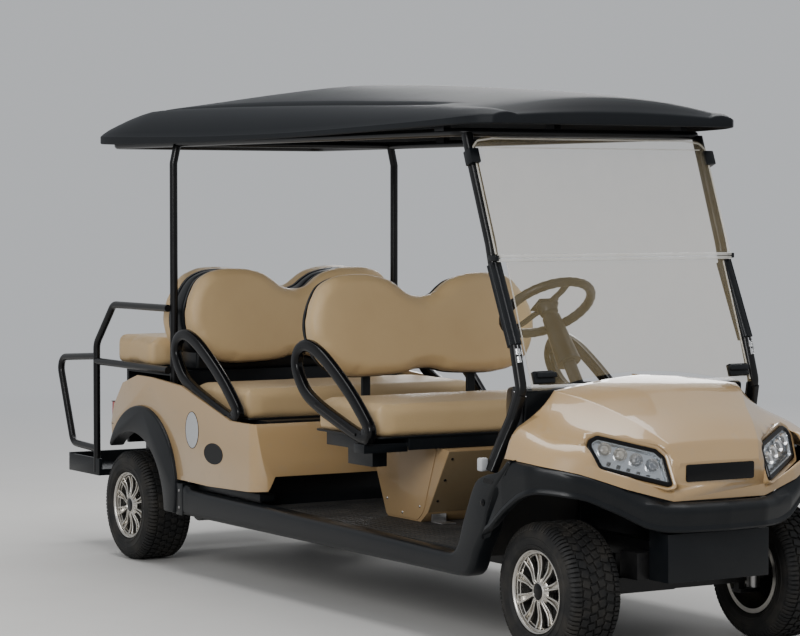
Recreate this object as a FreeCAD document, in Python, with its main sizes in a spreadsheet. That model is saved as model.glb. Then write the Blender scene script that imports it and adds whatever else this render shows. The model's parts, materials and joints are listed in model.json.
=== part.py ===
import FreeCAD, Part
import Sketcher
import math
import os

# Six-seat golf cart, millimetres.
# Every shape is drawn with x = 0 at the rear axle and z = 0 on the ground, +X forward and +Y left,
# and each sub-part's Placement then moves it so that the origin is the middle of the footprint.

os.makedirs("parts", exist_ok=True)
doc = FreeCAD.newDocument("golf_cart")
V = FreeCAD.Vector
UP = V(0, 0, 1)
ALONG = V(1, 0, 0)
ACROSS = V(0, 1, 0)

# Driving sizes: alias, value, what it is
SIZES = (
    ("origin_to_rear_axle", -1258, "x of the rear axle in the part's frame"),
    ("wheelbase", 2950, "rear axle to front axle"),
    ("tyre_radius", 226, "loaded tyre, also the height of both axles"),
    ("tyre_width", 205, "section width"),
    ("bead_radius", 127, "inside of the tyre"),
    ("rear_track_half", 490, "centre line to rear tyre centre"),
    ("front_track_half", 440, "centre line to front tyre centre"),
    ("flange_radius", 137, "rim flange"),
    ("flange_thick", 6, "rim flange, along the axle"),
    ("rim_half_width", 94, "half the rim's width over its flanges"),
    ("rim_wall", 6, "barrel wall"),
    ("disc_outset", 76, "outer face of the wheel disc from the tyre centre"),
    ("disc_thick", 16, "wheel disc"),
    ("hub_radius", 34, "wheel hub"),
    ("hub_inset", 30, "inner face of the hub from the tyre centre"),
    ("hub_cap_radius", 27, "centre cap"),
    ("hub_cap_height", 8, "centre cap above the disc"),
    ("window_count", 10, "openings round the wheel disc"),
    ("window_inner", 46, "radius at the inner end of a window"),
    ("window_outer", 112, "radius at the outer end of a window"),
    ("window_inner_half", 7, "half width of a window at its inner end"),
    ("window_outer_half", 25, "half width of a window at its outer end"),
    ("spindle_radius", 15, "stub axle"),
    ("spindle_reach", 55, "how far a stub axle goes past the tyre centre"),
    ("running_gap", 0.3, "between a shaft and its bore"),
    ("body_half", 595, "centre line to the body's side"),
    ("body_wall", 14, "rear body moulding"),
    ("flare_half", 610, "centre line to the outside of a flare"),
    ("flare_depth", 67, "rear flares, across"),
    ("rocker_half", 602, "centre line to the outside of a rocker"),
    ("rocker_depth", 80, "thickness of a rocker"),
    ("rocker_bottom", 238, "underside of the rockers"),
    ("floor_top", 318, "height of the floor"),
    ("floor_thick", 14, "floor pan"),
    ("rail_half", 300, "centre line to a main rail's centre"),
    ("rail_width", 50, "main rail"),
    ("rail_bottom", 243, "underside of the main rails"),
    ("front_rail_half", 160, "centre line to a front rail's centre"),
    ("front_rail_bottom", 325, "underside of the front rails"),
    ("front_rail_height", 60, "front rails"),
    ("kingpin_half", 360, "centre line to a steering pivot"),
    ("kingpin_radius", 22, "steering pivot barrel"),
    ("kingpin_half_height", 48, "half the height of a steering pivot barrel"),
    ("wall", 8, "moulded body panels"),
    ("post_radius", 16, "rear roof posts"),
    ("post_x", 310, "rear roof posts"),
    ("post_half", 521, "centre line to a rear roof post"),
    ("strut_radius", 18, "front roof struts"),
    ("strut_half", 486, "centre line to a front strut at the roof"),
    ("ring_half", 502, "centre line to the side tubes of the roof ring"),
    ("ring_front", 2462, "front tube of the roof ring"),
    ("rail_radius", 15, "rear hand rails"),
    ("rear_rail_half", 548, "centre line to the rear hand rails"),
    ("hip_radius", 15, "hip restraint loops"),
    ("roof_half", 578, "half the roof's width"),
    ("roof_lip", 1717, "lowest point under the roof's lip"),
    ("roof_rear", -387, "rear end of the roof"),
    ("roof_front", 2645, "front end of the roof"),
    ("roof_crown", 1940, "top of the roof"),
    ("roof_wall", 18, "roof moulding"),
    ("glass_thick", 6, "windshield panes"),
    ("hinge_x", 2647, "windshield hinge"),
    ("hinge_height", 1299, "windshield hinge"),
    ("hinge_radius", 12, "windshield hinge bar"),
    ("upper_pane_half", 490, "half the width of the upper pane"),
    ("lower_pane_half", 454, "half the width of the lower pane"),
    ("lower_pane_tilt", 20.6, "degrees from upright"),
    ("upper_pane_tilt", 21.5, "degrees from upright"),
    ("upper_pane_length", 434, "from the hinge up"),
    ("lower_pane_length", 462, "from the hinge down"),
    ("cushion_inset", 65, "from the body's side to the end of a cushion"),
    ("cushion_thick", 118, "seat cushions"),
    ("row_pitch", 1000, "front row to middle row"),
    ("front_seat_front", 1950, "front edge of the front cushion"),
    ("cushion_depth", 470, "seat cushions, front to back"),
    ("front_seat_base", 645, "underside of the front cushion"),
    ("middle_seat_base", 642, "underside of the middle cushion"),
    ("rear_seat_front", -245, "front edge of the cushion that faces back"),
    ("rear_seat_depth", 357, "rear cushion, front to back"),
    ("rear_seat_base", 805, "underside of the rear cushion"),
    ("base_thick", 32, "seat base under a cushion"),
    ("back_thick", 86, "backrest cushions"),
    ("back_half", 500, "half the width of a backrest"),
    ("back_front_x", 1450, "lower front edge of the front backrest"),
    ("back_rear_x", 118, "lower edge of the backrest that faces back"),
    ("back_low", 836, "lower edge of a backrest"),
    ("back_lean", 10, "backrests, degrees from upright"),
    ("rear_back_lean", 8, "backrest that faces back, degrees from upright"),
    ("seat_gap", 0.3, "between a soft piece and its seat"),
    ("pedestal_half", 256, "half the width of the front seat's pedestal"),
    ("steering_x", 1835, "centre of the steering wheel"),
    ("steering_y", 270, "centre of the steering wheel"),
    ("steering_height", 1092, "centre of the steering wheel"),
    ("steering_tilt", 36, "steering axis, degrees from upright"),
    ("steering_radius", 172, "steering wheel, to the middle of its rim"),
    ("steering_rim", 15, "half the thickness of the steering wheel's rim"),
    ("foot_bolt_radius", 5.5, "bolt holes in the footplate"),
    ("foot_bolt_spacing_x", 180, "bolt holes in the footplate"),
    ("foot_bolt_spacing_y", 640, "bolt holes in the footplate"),
    ("battery_front", 1000, "front end of the battery block"),
    ("battery_length", 620, "battery block"),
    ("battery_half", 255, "half the width of the battery block"),
    ("battery_height", 240, "battery block"),
)


class Size:
    """A value from the sheet together with the expression that binds it."""

    def __init__(self, text, value):
        self.text = text
        self.value = value

    def _join(self, sign, other, value):
        return Size("(%s %s %s)" % (self.text, sign, _text(other)), value)

    def __add__(self, other):
        return self._join("+", other, self.value + float(other))

    def __sub__(self, other):
        return self._join("-", other, self.value - float(other))

    def __mul__(self, other):
        return self._join("*", other, self.value * float(other))

    def __truediv__(self, other):
        return self._join("/", other, self.value / float(other))

    def __neg__(self):
        return Size("(0 - %s)" % self.text, -self.value)

    def __float__(self):
        return float(self.value)

    __radd__ = __add__


def _text(item):
    return item.text if isinstance(item, Size) else repr(float(item))


class Sheet:
    """The sizes by name."""

    def __init__(self, rows):
        self.cells = doc.addObject("Spreadsheet::Sheet", "Sizes")
        for row, (alias, value, note) in enumerate(rows, start=1):
            self.cells.set("A%d" % row, alias)
            self.cells.set("B%d" % row, str(value))
            self.cells.setAlias("B%d" % row, alias)
            self.cells.set("C%d" % row, note)
            setattr(self, alias, Size("Sizes.%s" % alias, value))


S = Sheet(SIZES)
doc.recompute()
subparts = []
SIDES = (("left", 1), ("right", -1))


def place(item, x=None, y=None, height=None, axis=None, angle=None):
    """Give a sub-part its place; x is counted from the rear axle."""
    shift = S.origin_to_rear_axle if x is None else S.origin_to_rear_axle + x
    if axis is not None:
        item.Placement = FreeCAD.Placement(V(0, 0, 0), FreeCAD.Rotation(axis, float(angle)))
        if isinstance(angle, Size):
            item.setExpression("Placement.Rotation.Angle", angle.text)
    item.setExpression("Placement.Base.x", shift.text)
    if y is not None:
        item.setExpression("Placement.Base.y", _text(y))
    if height is not None:
        item.setExpression("Placement.Base.z", _text(height))
    subparts.append(item)
    return item


# PartDesign helpers


def new_body(label):
    item = doc.addObject("PartDesign::Body", label)
    item.Label = label
    return item


def origin_item(body, role):
    return next(f for f in body.Origin.OriginFeatures if f.Role == role)


def pin(sketch, kind, corner, size):
    """Fix one coordinate of a corner to the sheet."""
    if float(size) == 0 and not isinstance(size, Size):
        line = -2 if kind == "DistanceX" else -1
        sketch.addConstraint(Sketcher.Constraint("PointOnObject", corner, 1, line))
        return
    index = sketch.addConstraint(Sketcher.Constraint(kind, -1, 1, corner, 1, float(size)))
    if isinstance(size, Size):
        sketch.setExpression("Constraints[%d]" % index, size.text)


def new_sketch(body, name, role, offset=None):
    sketch = body.newObject("Sketcher::SketchObject", name)
    sketch.AttachmentSupport = [(origin_item(body, role), "")]
    sketch.MapMode = "FlatFace"
    if offset is not None:
        sketch.setExpression("AttachmentOffset.Base.z", _text(offset))
    return sketch


def outline(body, name, role, corners, offset=None):
    """A closed outline of straight lines with each corner bound to the sheet."""
    sketch = new_sketch(body, name, role, offset)
    spots = [V(float(u), float(v), 0) for u, v in corners]
    count = len(spots)
    for i in range(count):
        sketch.addGeometry(Part.LineSegment(spots[i], spots[(i + 1) % count]), False)
    for i in range(count):
        sketch.addConstraint(Sketcher.Constraint("Coincident", i, 2, (i + 1) % count, 1))
    for i, (u, v) in enumerate(corners):
        pin(sketch, "DistanceX", i, u)
        pin(sketch, "DistanceY", i, v)
    return sketch


def pad(body, sketch, length, name="Pad"):
    item = body.newObject("PartDesign::Pad", name)
    item.Profile = sketch
    item.Length = float(length)
    if isinstance(length, Size):
        item.setExpression("Length", length.text)
    return item


def prism(label, role, corners, start, length, rounds=0):
    """A body with one padded outline, its long edges rounded if asked."""
    body = new_body(label)
    block = pad(body, outline(body, label + "_outline", role, corners, start), length)
    doc.recompute()
    if rounds:
        normal = {"XY_Plane": UP, "XZ_Plane": ACROSS, "YZ_Plane": ALONG}[role]
        names = []
        for i, edge in enumerate(block.Shape.Edges, start=1):
            if abs(edge.tangentAt(edge.FirstParameter).dot(normal)) > 0.99:
                names.append("Edge%d" % i)
        fillet = body.newObject("PartDesign::Fillet", "Fillet")
        fillet.Base = (block, names)
        fillet.Radius = rounds
        doc.recompute()
    return place(body)


def side_span(sign, inner, outer):
    """Start of a pad on the side plane, whose normal is -Y, for a piece between two distances."""
    return inner if sign < 0 else -outer


def revolve(body, sketch, name="Revolution"):
    """Turn a profile about the sketch's own vertical axis."""
    item = body.newObject("PartDesign::Revolution", name)
    item.Profile = sketch
    item.ReferenceAxis = (sketch, ["V_Axis"])
    item.Angle = 360
    return item


# Helpers for shapes made from wires


def feature(label, shape, x=None, y=None, height=None, axis=None, angle=None):
    item = doc.addObject("Part::Feature", label)
    item.Label = label
    item.Shape = shape
    return place(item, x, y, height, axis, angle)


def vec(*numbers):
    return V(*[float(n) for n in numbers])


def rounded_path(points, radius, closed=False):
    """A wire through the points with each corner rounded by a tangent arc."""
    count = len(points)
    corners = range(count) if closed else range(1, count - 1)
    cuts = {}
    for i in corners:
        here = points[i]
        before = (points[i - 1] - here).normalize()
        after = (points[(i + 1) % count] - here).normalize()
        turn = math.pi - before.getAngle(after)
        back = radius * math.tan(turn / 2)
        bisector = (before + after).normalize()
        middle = here + bisector * (radius / math.cos(turn / 2) - radius)
        cuts[i] = (here + before * back, middle, here + after * back)
    edges = []
    for i in range(count if closed else count - 1):
        j = (i + 1) % count
        start = cuts[i][2] if i in cuts else points[i]
        end = cuts[j][0] if j in cuts else points[j]
        if (end - start).Length > 1e-3:
            edges.append(Part.LineSegment(start, end).toShape())
        if j in cuts:
            edges.append(Part.Arc(*cuts[j]).toShape())
    return Part.Wire(edges)


def bar(points, radius, bend, closed=False):
    """A round tube along straight runs and tangent bends."""
    path = rounded_path(points, bend, closed)
    first = path.Edges[0]
    start = first.valueAt(first.FirstParameter)
    heading = first.tangentAt(first.FirstParameter)
    ring = Part.Wire([Part.Circle(start, heading, radius).toShape()])
    return path.makePipeShell([ring], True, False)


def in_plane(points, y):
    return [vec(x, y, z) for x, z in points]


def slab(points, direction):
    """A solid from a closed outline moved along a direction."""
    wire = Part.makePolygon(points + [points[0]])
    return Part.Face(wire).extrude(direction)


def mirrored(shape):
    return shape.mirror(V(0, 0, 0), ACROSS)


def both_sides(shape):
    return Part.makeCompound([shape, mirrored(shape)])


def fused(shapes):
    whole = shapes[0].multiFuse(shapes[1:])
    return whole.removeSplitter()


def box(x0, x1, y0, y1, z0, z1):
    return Part.makeBox(float(x1 - x0), float(y1 - y0), float(z1 - z0), vec(x0, y0, z0))


def rod(start, end, radius):
    return Part.makeCylinder(float(radius), (end - start).Length, start, end - start)


def loft(wires):
    return Part.makeLoft(wires, True, True)


# Wheels

AXLE_HEIGHT = S.tyre_radius


def tyre(label, x, y):
    """Sidewalls that bulge past the flanges and a rounded shoulder."""
    body = new_body(label)
    half = S.tyre_width / 2
    seat = S.bead_radius + 1
    inner = S.rim_half_width - S.flange_thick - 1
    steps = (
        (seat, inner),
        (S.flange_radius + 1, inner),
        (S.flange_radius + 8, half - 4),
        (S.flange_radius + 34, half),
        (S.tyre_radius - 28, half - 4),
        (S.tyre_radius - 9, half - 14),
        (S.tyre_radius, half - 32),
    )
    corners = [(u, v) for u, v in steps] + [(u, -v) for u, v in reversed(steps)]
    revolve(body, outline(body, "Tyre_profile", "XY_Plane", corners))
    return place(body, x, y, AXLE_HEIGHT)


def rim(label, x, y, sign):
    """Barrel with two flanges, windowed disc, hub with its bore, and centre cap."""
    body = new_body(label)
    half = S.rim_half_width
    lip = S.flange_thick
    inside = S.bead_radius - S.rim_wall
    barrel = [
        (inside, -half),
        (S.flange_radius, -half),
        (S.flange_radius, lip - half),
        (S.bead_radius, lip - half),
        (S.bead_radius, half - lip),
        (S.flange_radius, half - lip),
        (S.flange_radius, half),
        (inside, half),
    ]
    revolve(body, outline(body, "Barrel_profile", "XY_Plane", barrel), "Barrel")
    face = -S.disc_outset
    back = S.disc_thick - S.disc_outset
    bore = S.spindle_radius + S.running_gap
    bore_end = -S.spindle_reach - S.running_gap
    cap = face - S.hub_cap_height
    disc = [
        (0, cap),
        (S.hub_cap_radius, cap),
        (S.hub_cap_radius, face),
        (inside, face),
        (inside, back),
        (S.hub_radius, back),
        (S.hub_radius, S.hub_inset),
        (bore, S.hub_inset),
        (bore, bore_end),
        (0, bore_end),
    ]
    revolve(body, outline(body, "Disc_profile", "XY_Plane", disc), "Disc")
    window = [
        (-S.window_inner_half, S.window_inner),
        (S.window_inner_half, S.window_inner),
        (S.window_outer_half, S.window_outer),
        (-S.window_outer_half, S.window_outer),
    ]
    sketch = outline(body, "Window", "XZ_Plane", window, S.disc_outset)
    doc.recompute()
    before = body.Tip.Shape.Volume
    cut = body.newObject("PartDesign::Pocket", "Window_cut")
    cut.Profile = sketch
    cut.setExpression("Length", S.disc_thick.text)
    doc.recompute()
    if cut.Shape.Volume > before - 1:
        cut.Reversed = True
        doc.recompute()
    ring = body.newObject("PartDesign::PolarPattern", "Windows")
    ring.Originals = [cut]
    ring.Axis = (origin_item(body, "Y_Axis"), [""])
    ring.Angle = 360
    ring.Occurrences = int(S.window_count.value)
    ring.setExpression("Occurrences", S.window_count.text)
    body.Tip = ring
    turn = 180 if sign > 0 else 0
    return place(body, x, y, AXLE_HEIGHT, UP, turn)


for end, x, track in (("front", S.wheelbase, S.front_track_half), ("rear", S.wheelbase * 0, S.rear_track_half)):
    for side, sign in SIDES:
        tyre("tyre_%s_%s" % (end, side), x, track * sign)
        rim("rim_%s_%s" % (end, side), x, track * sign, sign)

# Chassis

rail_top = S.floor_top - S.floor_thick - 2
frame_side = [
    (-360, 395),
    (215, 395),
    (330, S.rail_bottom),
    (2560, S.rail_bottom),
    (2560, rail_top),
    (350, rail_top),
    (240, 460),
    (-360, 460),
]


def chassis_frame():
    """Two cranked side rails, cross members, and narrow front rails between the steered wheels."""
    depth = float(S.rail_width)
    half = float(S.rail_half)
    z0 = float(S.rail_bottom)
    side = slab(in_plane(frame_side, half - depth / 2), V(0, depth, 0))
    pieces = [side, mirrored(side)]
    for x in (380, 900):
        pieces.append(box(x, x + 50, -half, half, z0 + 10, float(rail_top)))
    for x in (1300, 2200):
        pieces.append(box(x, x + 50, -half, half, z0 + 10, z0 + 60))
    pieces.append(box(-360, -310, -half, half, 395, 460))
    front = float(S.front_rail_half)
    low = float(S.front_rail_bottom)
    high = low + float(S.front_rail_height)
    top = float(rail_top)
    pieces.append(box(2510, 2560, -half - depth / 2, half + depth / 2, z0, top - 0.3))
    crank = [(2555, z0 + 10), (2680, z0 + 10), (2740, low), (3120, low), (3120, high), (2700, high), (2640, top - 3),
             (2555, top - 3)]
    for sign in (1, -1):
        pieces.append(slab(in_plane(crank, sign * front - 25), V(0, 50, 0)))
    pieces.append(box(3080, 3120, -front, front, low, high))
    return fused(pieces)


frame = chassis_frame()
feature("chassis_frame", frame)

floor_low = S.floor_top - S.floor_thick
toe_x = 2625
toe_top = (2752, 545)


def toe_board(height):
    """x of the toe board's face at a height."""
    share = (height - float(S.floor_top)) / (toe_top[1] - float(S.floor_top))
    return toe_x - 8 + share * (toe_top[0] - toe_x + 8)


prism(
    "floor_pan",
    "XZ_Plane",
    [
        (1030, floor_low),
        (toe_x, floor_low),
        (toe_top[0] + 12, toe_top[1] - 6),
        toe_top,
        (toe_x - 8, S.floor_top),
        (1030, S.floor_top),
    ],
    -(S.rocker_half - S.rocker_depth),
    (S.rocker_half - S.rocker_depth) * 2,
)

rocker_outline = [
    (489.6, S.rocker_bottom),
    (2640, S.rocker_bottom),
    (2662, 262),
    (2693, 325),
    (2752, 412),
    (2789, 519),
    (2904, 640),
    (2877, 650),
    (2817, 605),
    (2741, 594),
    (2690, 574),
    (2661, 535),
    (2646, 506),
    (2604, 424),
    (2588, 372),
    (2566, 335),
    (2536, 316),
    (2490, 312),
    (600, 345),
    (560, 362),
    (489.6, 362),
]
for side, sign in SIDES:
    inner = S.rocker_half - S.rocker_depth
    prism("rocker_" + side, "XZ_Plane", rocker_outline, side_span(sign, inner, S.rocker_half), S.rocker_depth, 10)

feature(
    "battery_block",
    box(
        S.battery_front - S.battery_length,
        S.battery_front,
        -S.battery_half,
        S.battery_half,
        rail_top + 0.3,
        rail_top + 0.3 + S.battery_height,
    ),
)


def rear_axle():
    """Axle tube with stub ends in the hubs, and the gear case round its middle."""
    z = float(AXLE_HEIGHT)
    inner_end = float(S.rear_track_half - S.hub_inset) - 12
    stub_end = float(S.rear_track_half + S.spindle_reach)
    stub = rod(V(0, -stub_end, z), V(0, stub_end, z), S.spindle_radius)
    tube = rod(V(0, -inner_end, z), V(0, inner_end, z), 32)
    case = Part.makeSphere(88, V(0, 40, z))
    flange = rod(V(0, -80, z), V(0, -52, z), 74)
    neck = rod(V(0, -80, z), V(0, 40, z), 58)
    return fused([stub, tube, case, flange, neck])


feature("rear_axle", rear_axle())
feature("drive_motor", rod(vec(0, -80.3, AXLE_HEIGHT) + V(0, 0, 0), vec(0, -255, AXLE_HEIGHT), 85).cut(
    rod(vec(0, -70, AXLE_HEIGHT), vec(0, -260, AXLE_HEIGHT), 32.3)))


def leaf_spring(x, half, seat, eye_height, reach, width, thick, leaves):
    """An arched pack of leaves, each shorter than the one above it."""
    top = eye_height
    pieces = []
    for leaf in range(leaves):
        span = reach * (1 - 0.27 * leaf)
        drop = leaf * thick
        sag = (top - seat) * (span / reach) ** 2
        ends = seat + sag - drop
        low = seat - drop
        under = Part.Arc(V(x - span, half, ends), V(x, half, low), V(x + span, half, ends))
        over = Part.Arc(V(x - span, half, ends + thick), V(x, half, low + thick), V(x + span, half, ends + thick))
        edges = [
            under.toShape(),
            Part.LineSegment(V(x + span, half, ends), V(x + span, half, ends + thick)).toShape(),
            over.toShape(),
            Part.LineSegment(V(x - span, half, ends + thick), V(x - span, half, ends)).toShape(),
        ]
        face = Part.Face(Part.Wire(Part.__sortEdges__(edges)))
        face.translate(V(0, -width / 2, 0))
        pieces.append(face.extrude(V(0, width, 0)))
    return fused(pieces)


def rear_springs():
    """Leaf packs under the axle's seats, with an eye and a hanger at each end."""
    z = float(AXLE_HEIGHT)
    seat = z + 52
    eye = 340
    half = float(S.rail_half)
    pack = leaf_spring(0, half, seat, eye, 225, 50, 8, 3)
    saddle = box(-30, 30, half - 25, half + 25, z + 32.3, seat - 14)
    hangers = [box(x - 14, x + 14, half - 25, half + 25, eye - 4, 420).cut(frame) for x in (-212, 212)]
    return fused([pack, saddle] + hangers)


feature("rear_springs", both_sides(rear_springs()))


def front_axle_beam():
    """Box beam between the steering pivots, with a fork at each end."""
    x = float(S.wheelbase)
    z = float(AXLE_HEIGHT)
    half = float(S.kingpin_half)
    reach = float(S.kingpin_half_height)
    inner = half - 62
    beam = box(x - 25, x + 25, -inner, inner, z - 25, z + 25)
    pieces = [beam]
    for sign in (1, -1):
        y = sign * half
        span = sorted((sign * (inner - 10), sign * (inner + 14)))
        pieces.append(box(x - 14, x + 14, span[0], span[1], z - reach - 14, z + reach + 14))
        for low in (z - reach - 14, z + reach + 0.5):
            span = sorted((sign * (inner - 10), y))
            pieces.append(box(x - 24, x + 24, span[0], span[1], low, low + 13.5))
            pieces.append(Part.makeCylinder(24, 13.5, V(x, y, low)))
    return fused(pieces)


feature("front_axle_beam", front_axle_beam())


def front_springs():
    """Two upright coil spring units between the beam and the front rails."""
    x = float(S.wheelbase)
    z = float(AXLE_HEIGHT) + 25.3
    top = float(S.front_rail_bottom) - 0.3
    half = float(S.front_rail_half)
    core = rod(V(x, half, z), V(x, half, top), 17)
    pieces = [core]
    steps = 4
    gap = (top - z) / steps
    for i in range(steps):
        pieces.append(Part.makeTorus(22, 6, V(x, half, z + gap * (i + 0.5)), UP))
    pieces.append(Part.makeCylinder(30, 5, V(x, half, z)))
    pieces.append(Part.makeCylinder(30, 5, V(x, half, top - 5)))
    return fused(pieces)


feature("front_springs", both_sides(front_springs()))


def knuckle(sign):
    """Pivot barrel, stub axle and steering arm."""
    x = float(S.wheelbase)
    y = float(S.kingpin_half)
    z = float(AXLE_HEIGHT)
    reach = float(S.kingpin_half_height)
    barrel = Part.makeCylinder(float(S.kingpin_radius), 2 * reach, V(x, y, z - reach))
    tip = float(S.front_track_half + S.spindle_reach)
    stub = rod(V(x, y, z), V(x, tip, z), S.spindle_radius)
    shoulder = rod(V(x, y, z), V(x, y + 38, z), 20)
    arm_low = z - 40
    corners = ((-6, -12), (-22, -16), (-60, -46), (-102, -56), (-102, -34), (-66, -28), (-24, 12), (-6, 14))
    arm = slab([V(x + u, y + v, arm_low) for u, v in corners], V(0, 0, 12))
    eye = Part.makeCylinder(16, 20, V(x - 102, y - 45, arm_low - 4))
    whole = fused([barrel, stub, shoulder, arm, eye])
    return whole if sign > 0 else mirrored(whole)


for side, sign in SIDES:
    feature("knuckle_" + side, knuckle(sign))


RACK_X = S.wheelbase - 148
RACK_HEIGHT = AXLE_HEIGHT - 34


def steering_rack():
    """Sliding bar with a tie rod end on each side, open at the knuckle arms."""
    x = float(RACK_X)
    z = float(RACK_HEIGHT)
    half = float(S.kingpin_half) - 84
    pieces = [rod(V(x, -half, z), V(x, half, z), 9)]
    for sign in (1, -1):
        pieces.append(Part.makeSphere(14, V(x, sign * half, z)))
        pieces.append(rod(V(x, sign * 195, z), V(x, sign * 240, z), 13))
    return fused(pieces)


feature("steering_rack", steering_rack())


def rack_housing():
    """Tube round the rack, hung from a plate under the front rails."""
    x = float(RACK_X)
    z = float(RACK_HEIGHT)
    top = float(S.front_rail_bottom)
    tube = rod(V(x, -130, z), V(x, 130, z), 24)
    bore = rod(V(x, -131, z), V(x, 131, z), 9 + float(S.running_gap))
    plate = box(x - 22, x + 22, -185, 185, top - 12, top)
    hangers = [box(x - 14, x + 14, y, y + 24, z, top) for y in (-120, 96)]
    return fused([tube, plate] + hangers).cut(bore)


feature("rack_housing", rack_housing())

# Front body

# Cross sections of the cowl: x, inset of the bottom from the flare, bottom z, shoulder inset and z, crease inset and
# z, crown z
COWL_SECTIONS = (
    (2780, 20, 655, 46, 742, 210, 874, 905),
    (2900, 20, 652, 54, 727, 268, 850, 880),
    (3020, 34, 644, 78, 707, 342, 803, 823),
    (3120, 120, 622, 158, 690, 390, 755, 769),
    (3177, 231, 581, 262, 672, 416, 724, 732),
    (3226, 424, 526, 430, 600, 448, 648, 651),
)


def cowl_wire(row, inset=0.0, drop=0.0):
    """One cross section: flat bottom, leaning side, sloping shoulder and an arched middle."""
    x, by, bz, sy, sz, cy, cz, crown = row
    by, sy, cy = [float(S.flare_half) - part for part in (by, sy, cy)]
    x -= inset
    low = bz - drop
    right = [V(x, -(by - inset), low), V(x, -(sy - inset), sz - inset * 0.4), V(x, -(cy - inset * 0.4), cz - inset)]
    left = [V(x, -p.y, p.z) for p in reversed(right)]
    top = Part.Arc(right[2], V(x, 0, crown - inset), left[0]).toShape()
    edges = [
        Part.LineSegment(right[0], right[1]).toShape(),
        Part.LineSegment(right[1], right[2]).toShape(),
        top,
        Part.LineSegment(left[0], left[1]).toShape(),
        Part.LineSegment(left[1], left[2]).toShape(),
        Part.LineSegment(left[2], right[0]).toShape(),
    ]
    return Part.Wire(edges)


# Outline of a lamp: x, distance from the centre line, height; the first three set its plane
LAMP = (
    (3075, 418, 704),
    (3194, 200, 669),
    (3119, 400, 633),
    (3070, 408, 725),
    (3076, 381, 737),
    (3173, 219, 693),
    (3236, 199, 582),
    (3230, 214, 580),
)
LAMP_ORDER = (0, 3, 4, 5, 1, 6, 7, 2)


def lamp_plane():
    """The lamp's corners in order on its plane, and the plane's outward normal."""
    a, b, c = [V(*row) for row in LAMP[:3]]
    normal = (b - a).cross(c - a).normalize()
    if normal.x < 0:
        normal = normal * -1
    corners = [V(*LAMP[i]) for i in LAMP_ORDER]
    return [p - normal * (p - a).dot(normal) for p in corners], normal


def lamp_prism(grow, back, front):
    """A prism on the lamp's outline, grown all round, between two depths along its normal."""
    corners, normal = lamp_plane()
    middle = V(0, 0, 0)
    for p in corners:
        middle = middle + p * (1.0 / len(corners))
    wider = [p + (p - middle).normalize() * grow for p in corners]
    face = Part.Face(Part.makePolygon(wider + [wider[0]]))
    face.translate(normal * back)
    return face.extrude(normal * (front - back))


lamps = both_sides(lamp_prism(0, -24, 2))
feature("headlights", lamps)


def front_cowl():
    """Hood and fenders as one moulding, open below and behind, with a pocket for each lamp."""
    outer = loft([cowl_wire(row) for row in COWL_SECTIONS])
    wall = float(S.wall)
    inner = loft([cowl_wire(row, wall, 60) for row in COWL_SECTIONS])
    shell = outer.cut(inner)
    housing = both_sides(lamp_prism(22, -12, 120)).common(outer)
    shell = shell.fuse(housing).cut(both_sides(lamp_prism(12, -2, 160))).cut(lamps)
    rear = [(2700, 0), (2787, 0), (2822, 300), (2830, 450), (2845, 540), (2856, 640), (2700, 640)]
    behind = slab([V(x, y, 500) for x, y in rear], V(0, 0, 600))
    return shell.cut(both_sides(behind))


feature("front_cowl", front_cowl())

# Plan of the black flares and bumper, right half: x, inset from the widest place
FLARE_PLAN = ((2740, 0), (2860, 0), (3010, 10), (3120, 90), (3225, 310), (3262, 460), (3280, 610))

# Height of the band's top along the cart, just under the cowl
FLARE_TOP = ((2700, 655.5), (2780, 653.5), (2900, 650.5), (3020, 642.5), (3120, 620.5), (3177, 579.5), (3226, 524.5),
             (3400, 514))


def front_flares():
    """Band under the cowl that arches over both front wheels and closes across the nose."""
    wall = 34
    wide = float(S.flare_half) + 90
    plan = [(x, float(S.flare_half) - inset) for x, inset in FLARE_PLAN]
    outer = [V(x, -half, 380) for x, half in plan]
    outer += [V(x, half, 380) for x, half in reversed(plan[:-1])]
    inner = [V(x - (wall if half < 500 else 6), -(half - wall if half > wall else 0), 380) for x, half in plan]
    inner += [V(p.x, -p.y, 380) for p in reversed(inner[:-1])]
    inner = [V(2700, inner[0].y, 380)] + inner + [V(2700, -inner[0].y, 380)]
    band = slab(outer, V(0, 0, 300)).cut(slab(inner, V(0, 0, 300)))
    across = V(0, 2 * wide, 0)
    top = slab([V(x, -wide, z) for x, z in FLARE_TOP] + [V(3400, -wide, 720), V(2700, -wide, 720)], across)
    riser = [(2600, 380), (2742, 380), (2756, 410), (2793, 516), (2912, 641), (2912, 720), (2600, 720)]
    riser = slab([V(x, -wide, z) for x, z in riser], across)
    arch = Part.Wire([
        Part.LineSegment(V(2700, -wide, 300), V(2700, -wide, 380)).toShape(),
        Part.LineSegment(V(2700, -wide, 380), V(2784, -wide, 415)).toShape(),
        Part.Arc(V(2784, -wide, 415), V(2958, -wide, 532), V(3130, -wide, 540)).toShape(),
        Part.LineSegment(V(3130, -wide, 540), V(3255, -wide, 424)).toShape(),
        Part.LineSegment(V(3255, -wide, 424), V(3400, -wide, 424)).toShape(),
        Part.LineSegment(V(3400, -wide, 424), V(3400, -wide, 300)).toShape(),
        Part.LineSegment(V(3400, -wide, 300), V(2700, -wide, 300)).toShape(),
    ])
    below = Part.Face(arch).extrude(across)
    return band.cut(top).cut(below).cut(riser)


flares = front_flares()
feature("front_flares", flares)


def bumper_carrier():
    """Box behind the nose, bolted to the front rails, that carries the band."""
    lower = box(3120.3, 3225, -205, 205, 262, 420)
    back = box(3120.3, 3180, -205, 205, 262, 470)
    arm = box(3120.3, 3270, -110, 110, 430, 470)
    return fused([lower, back, arm]).cut(flares)


feature("bumper_carrier", bumper_carrier())

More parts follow.
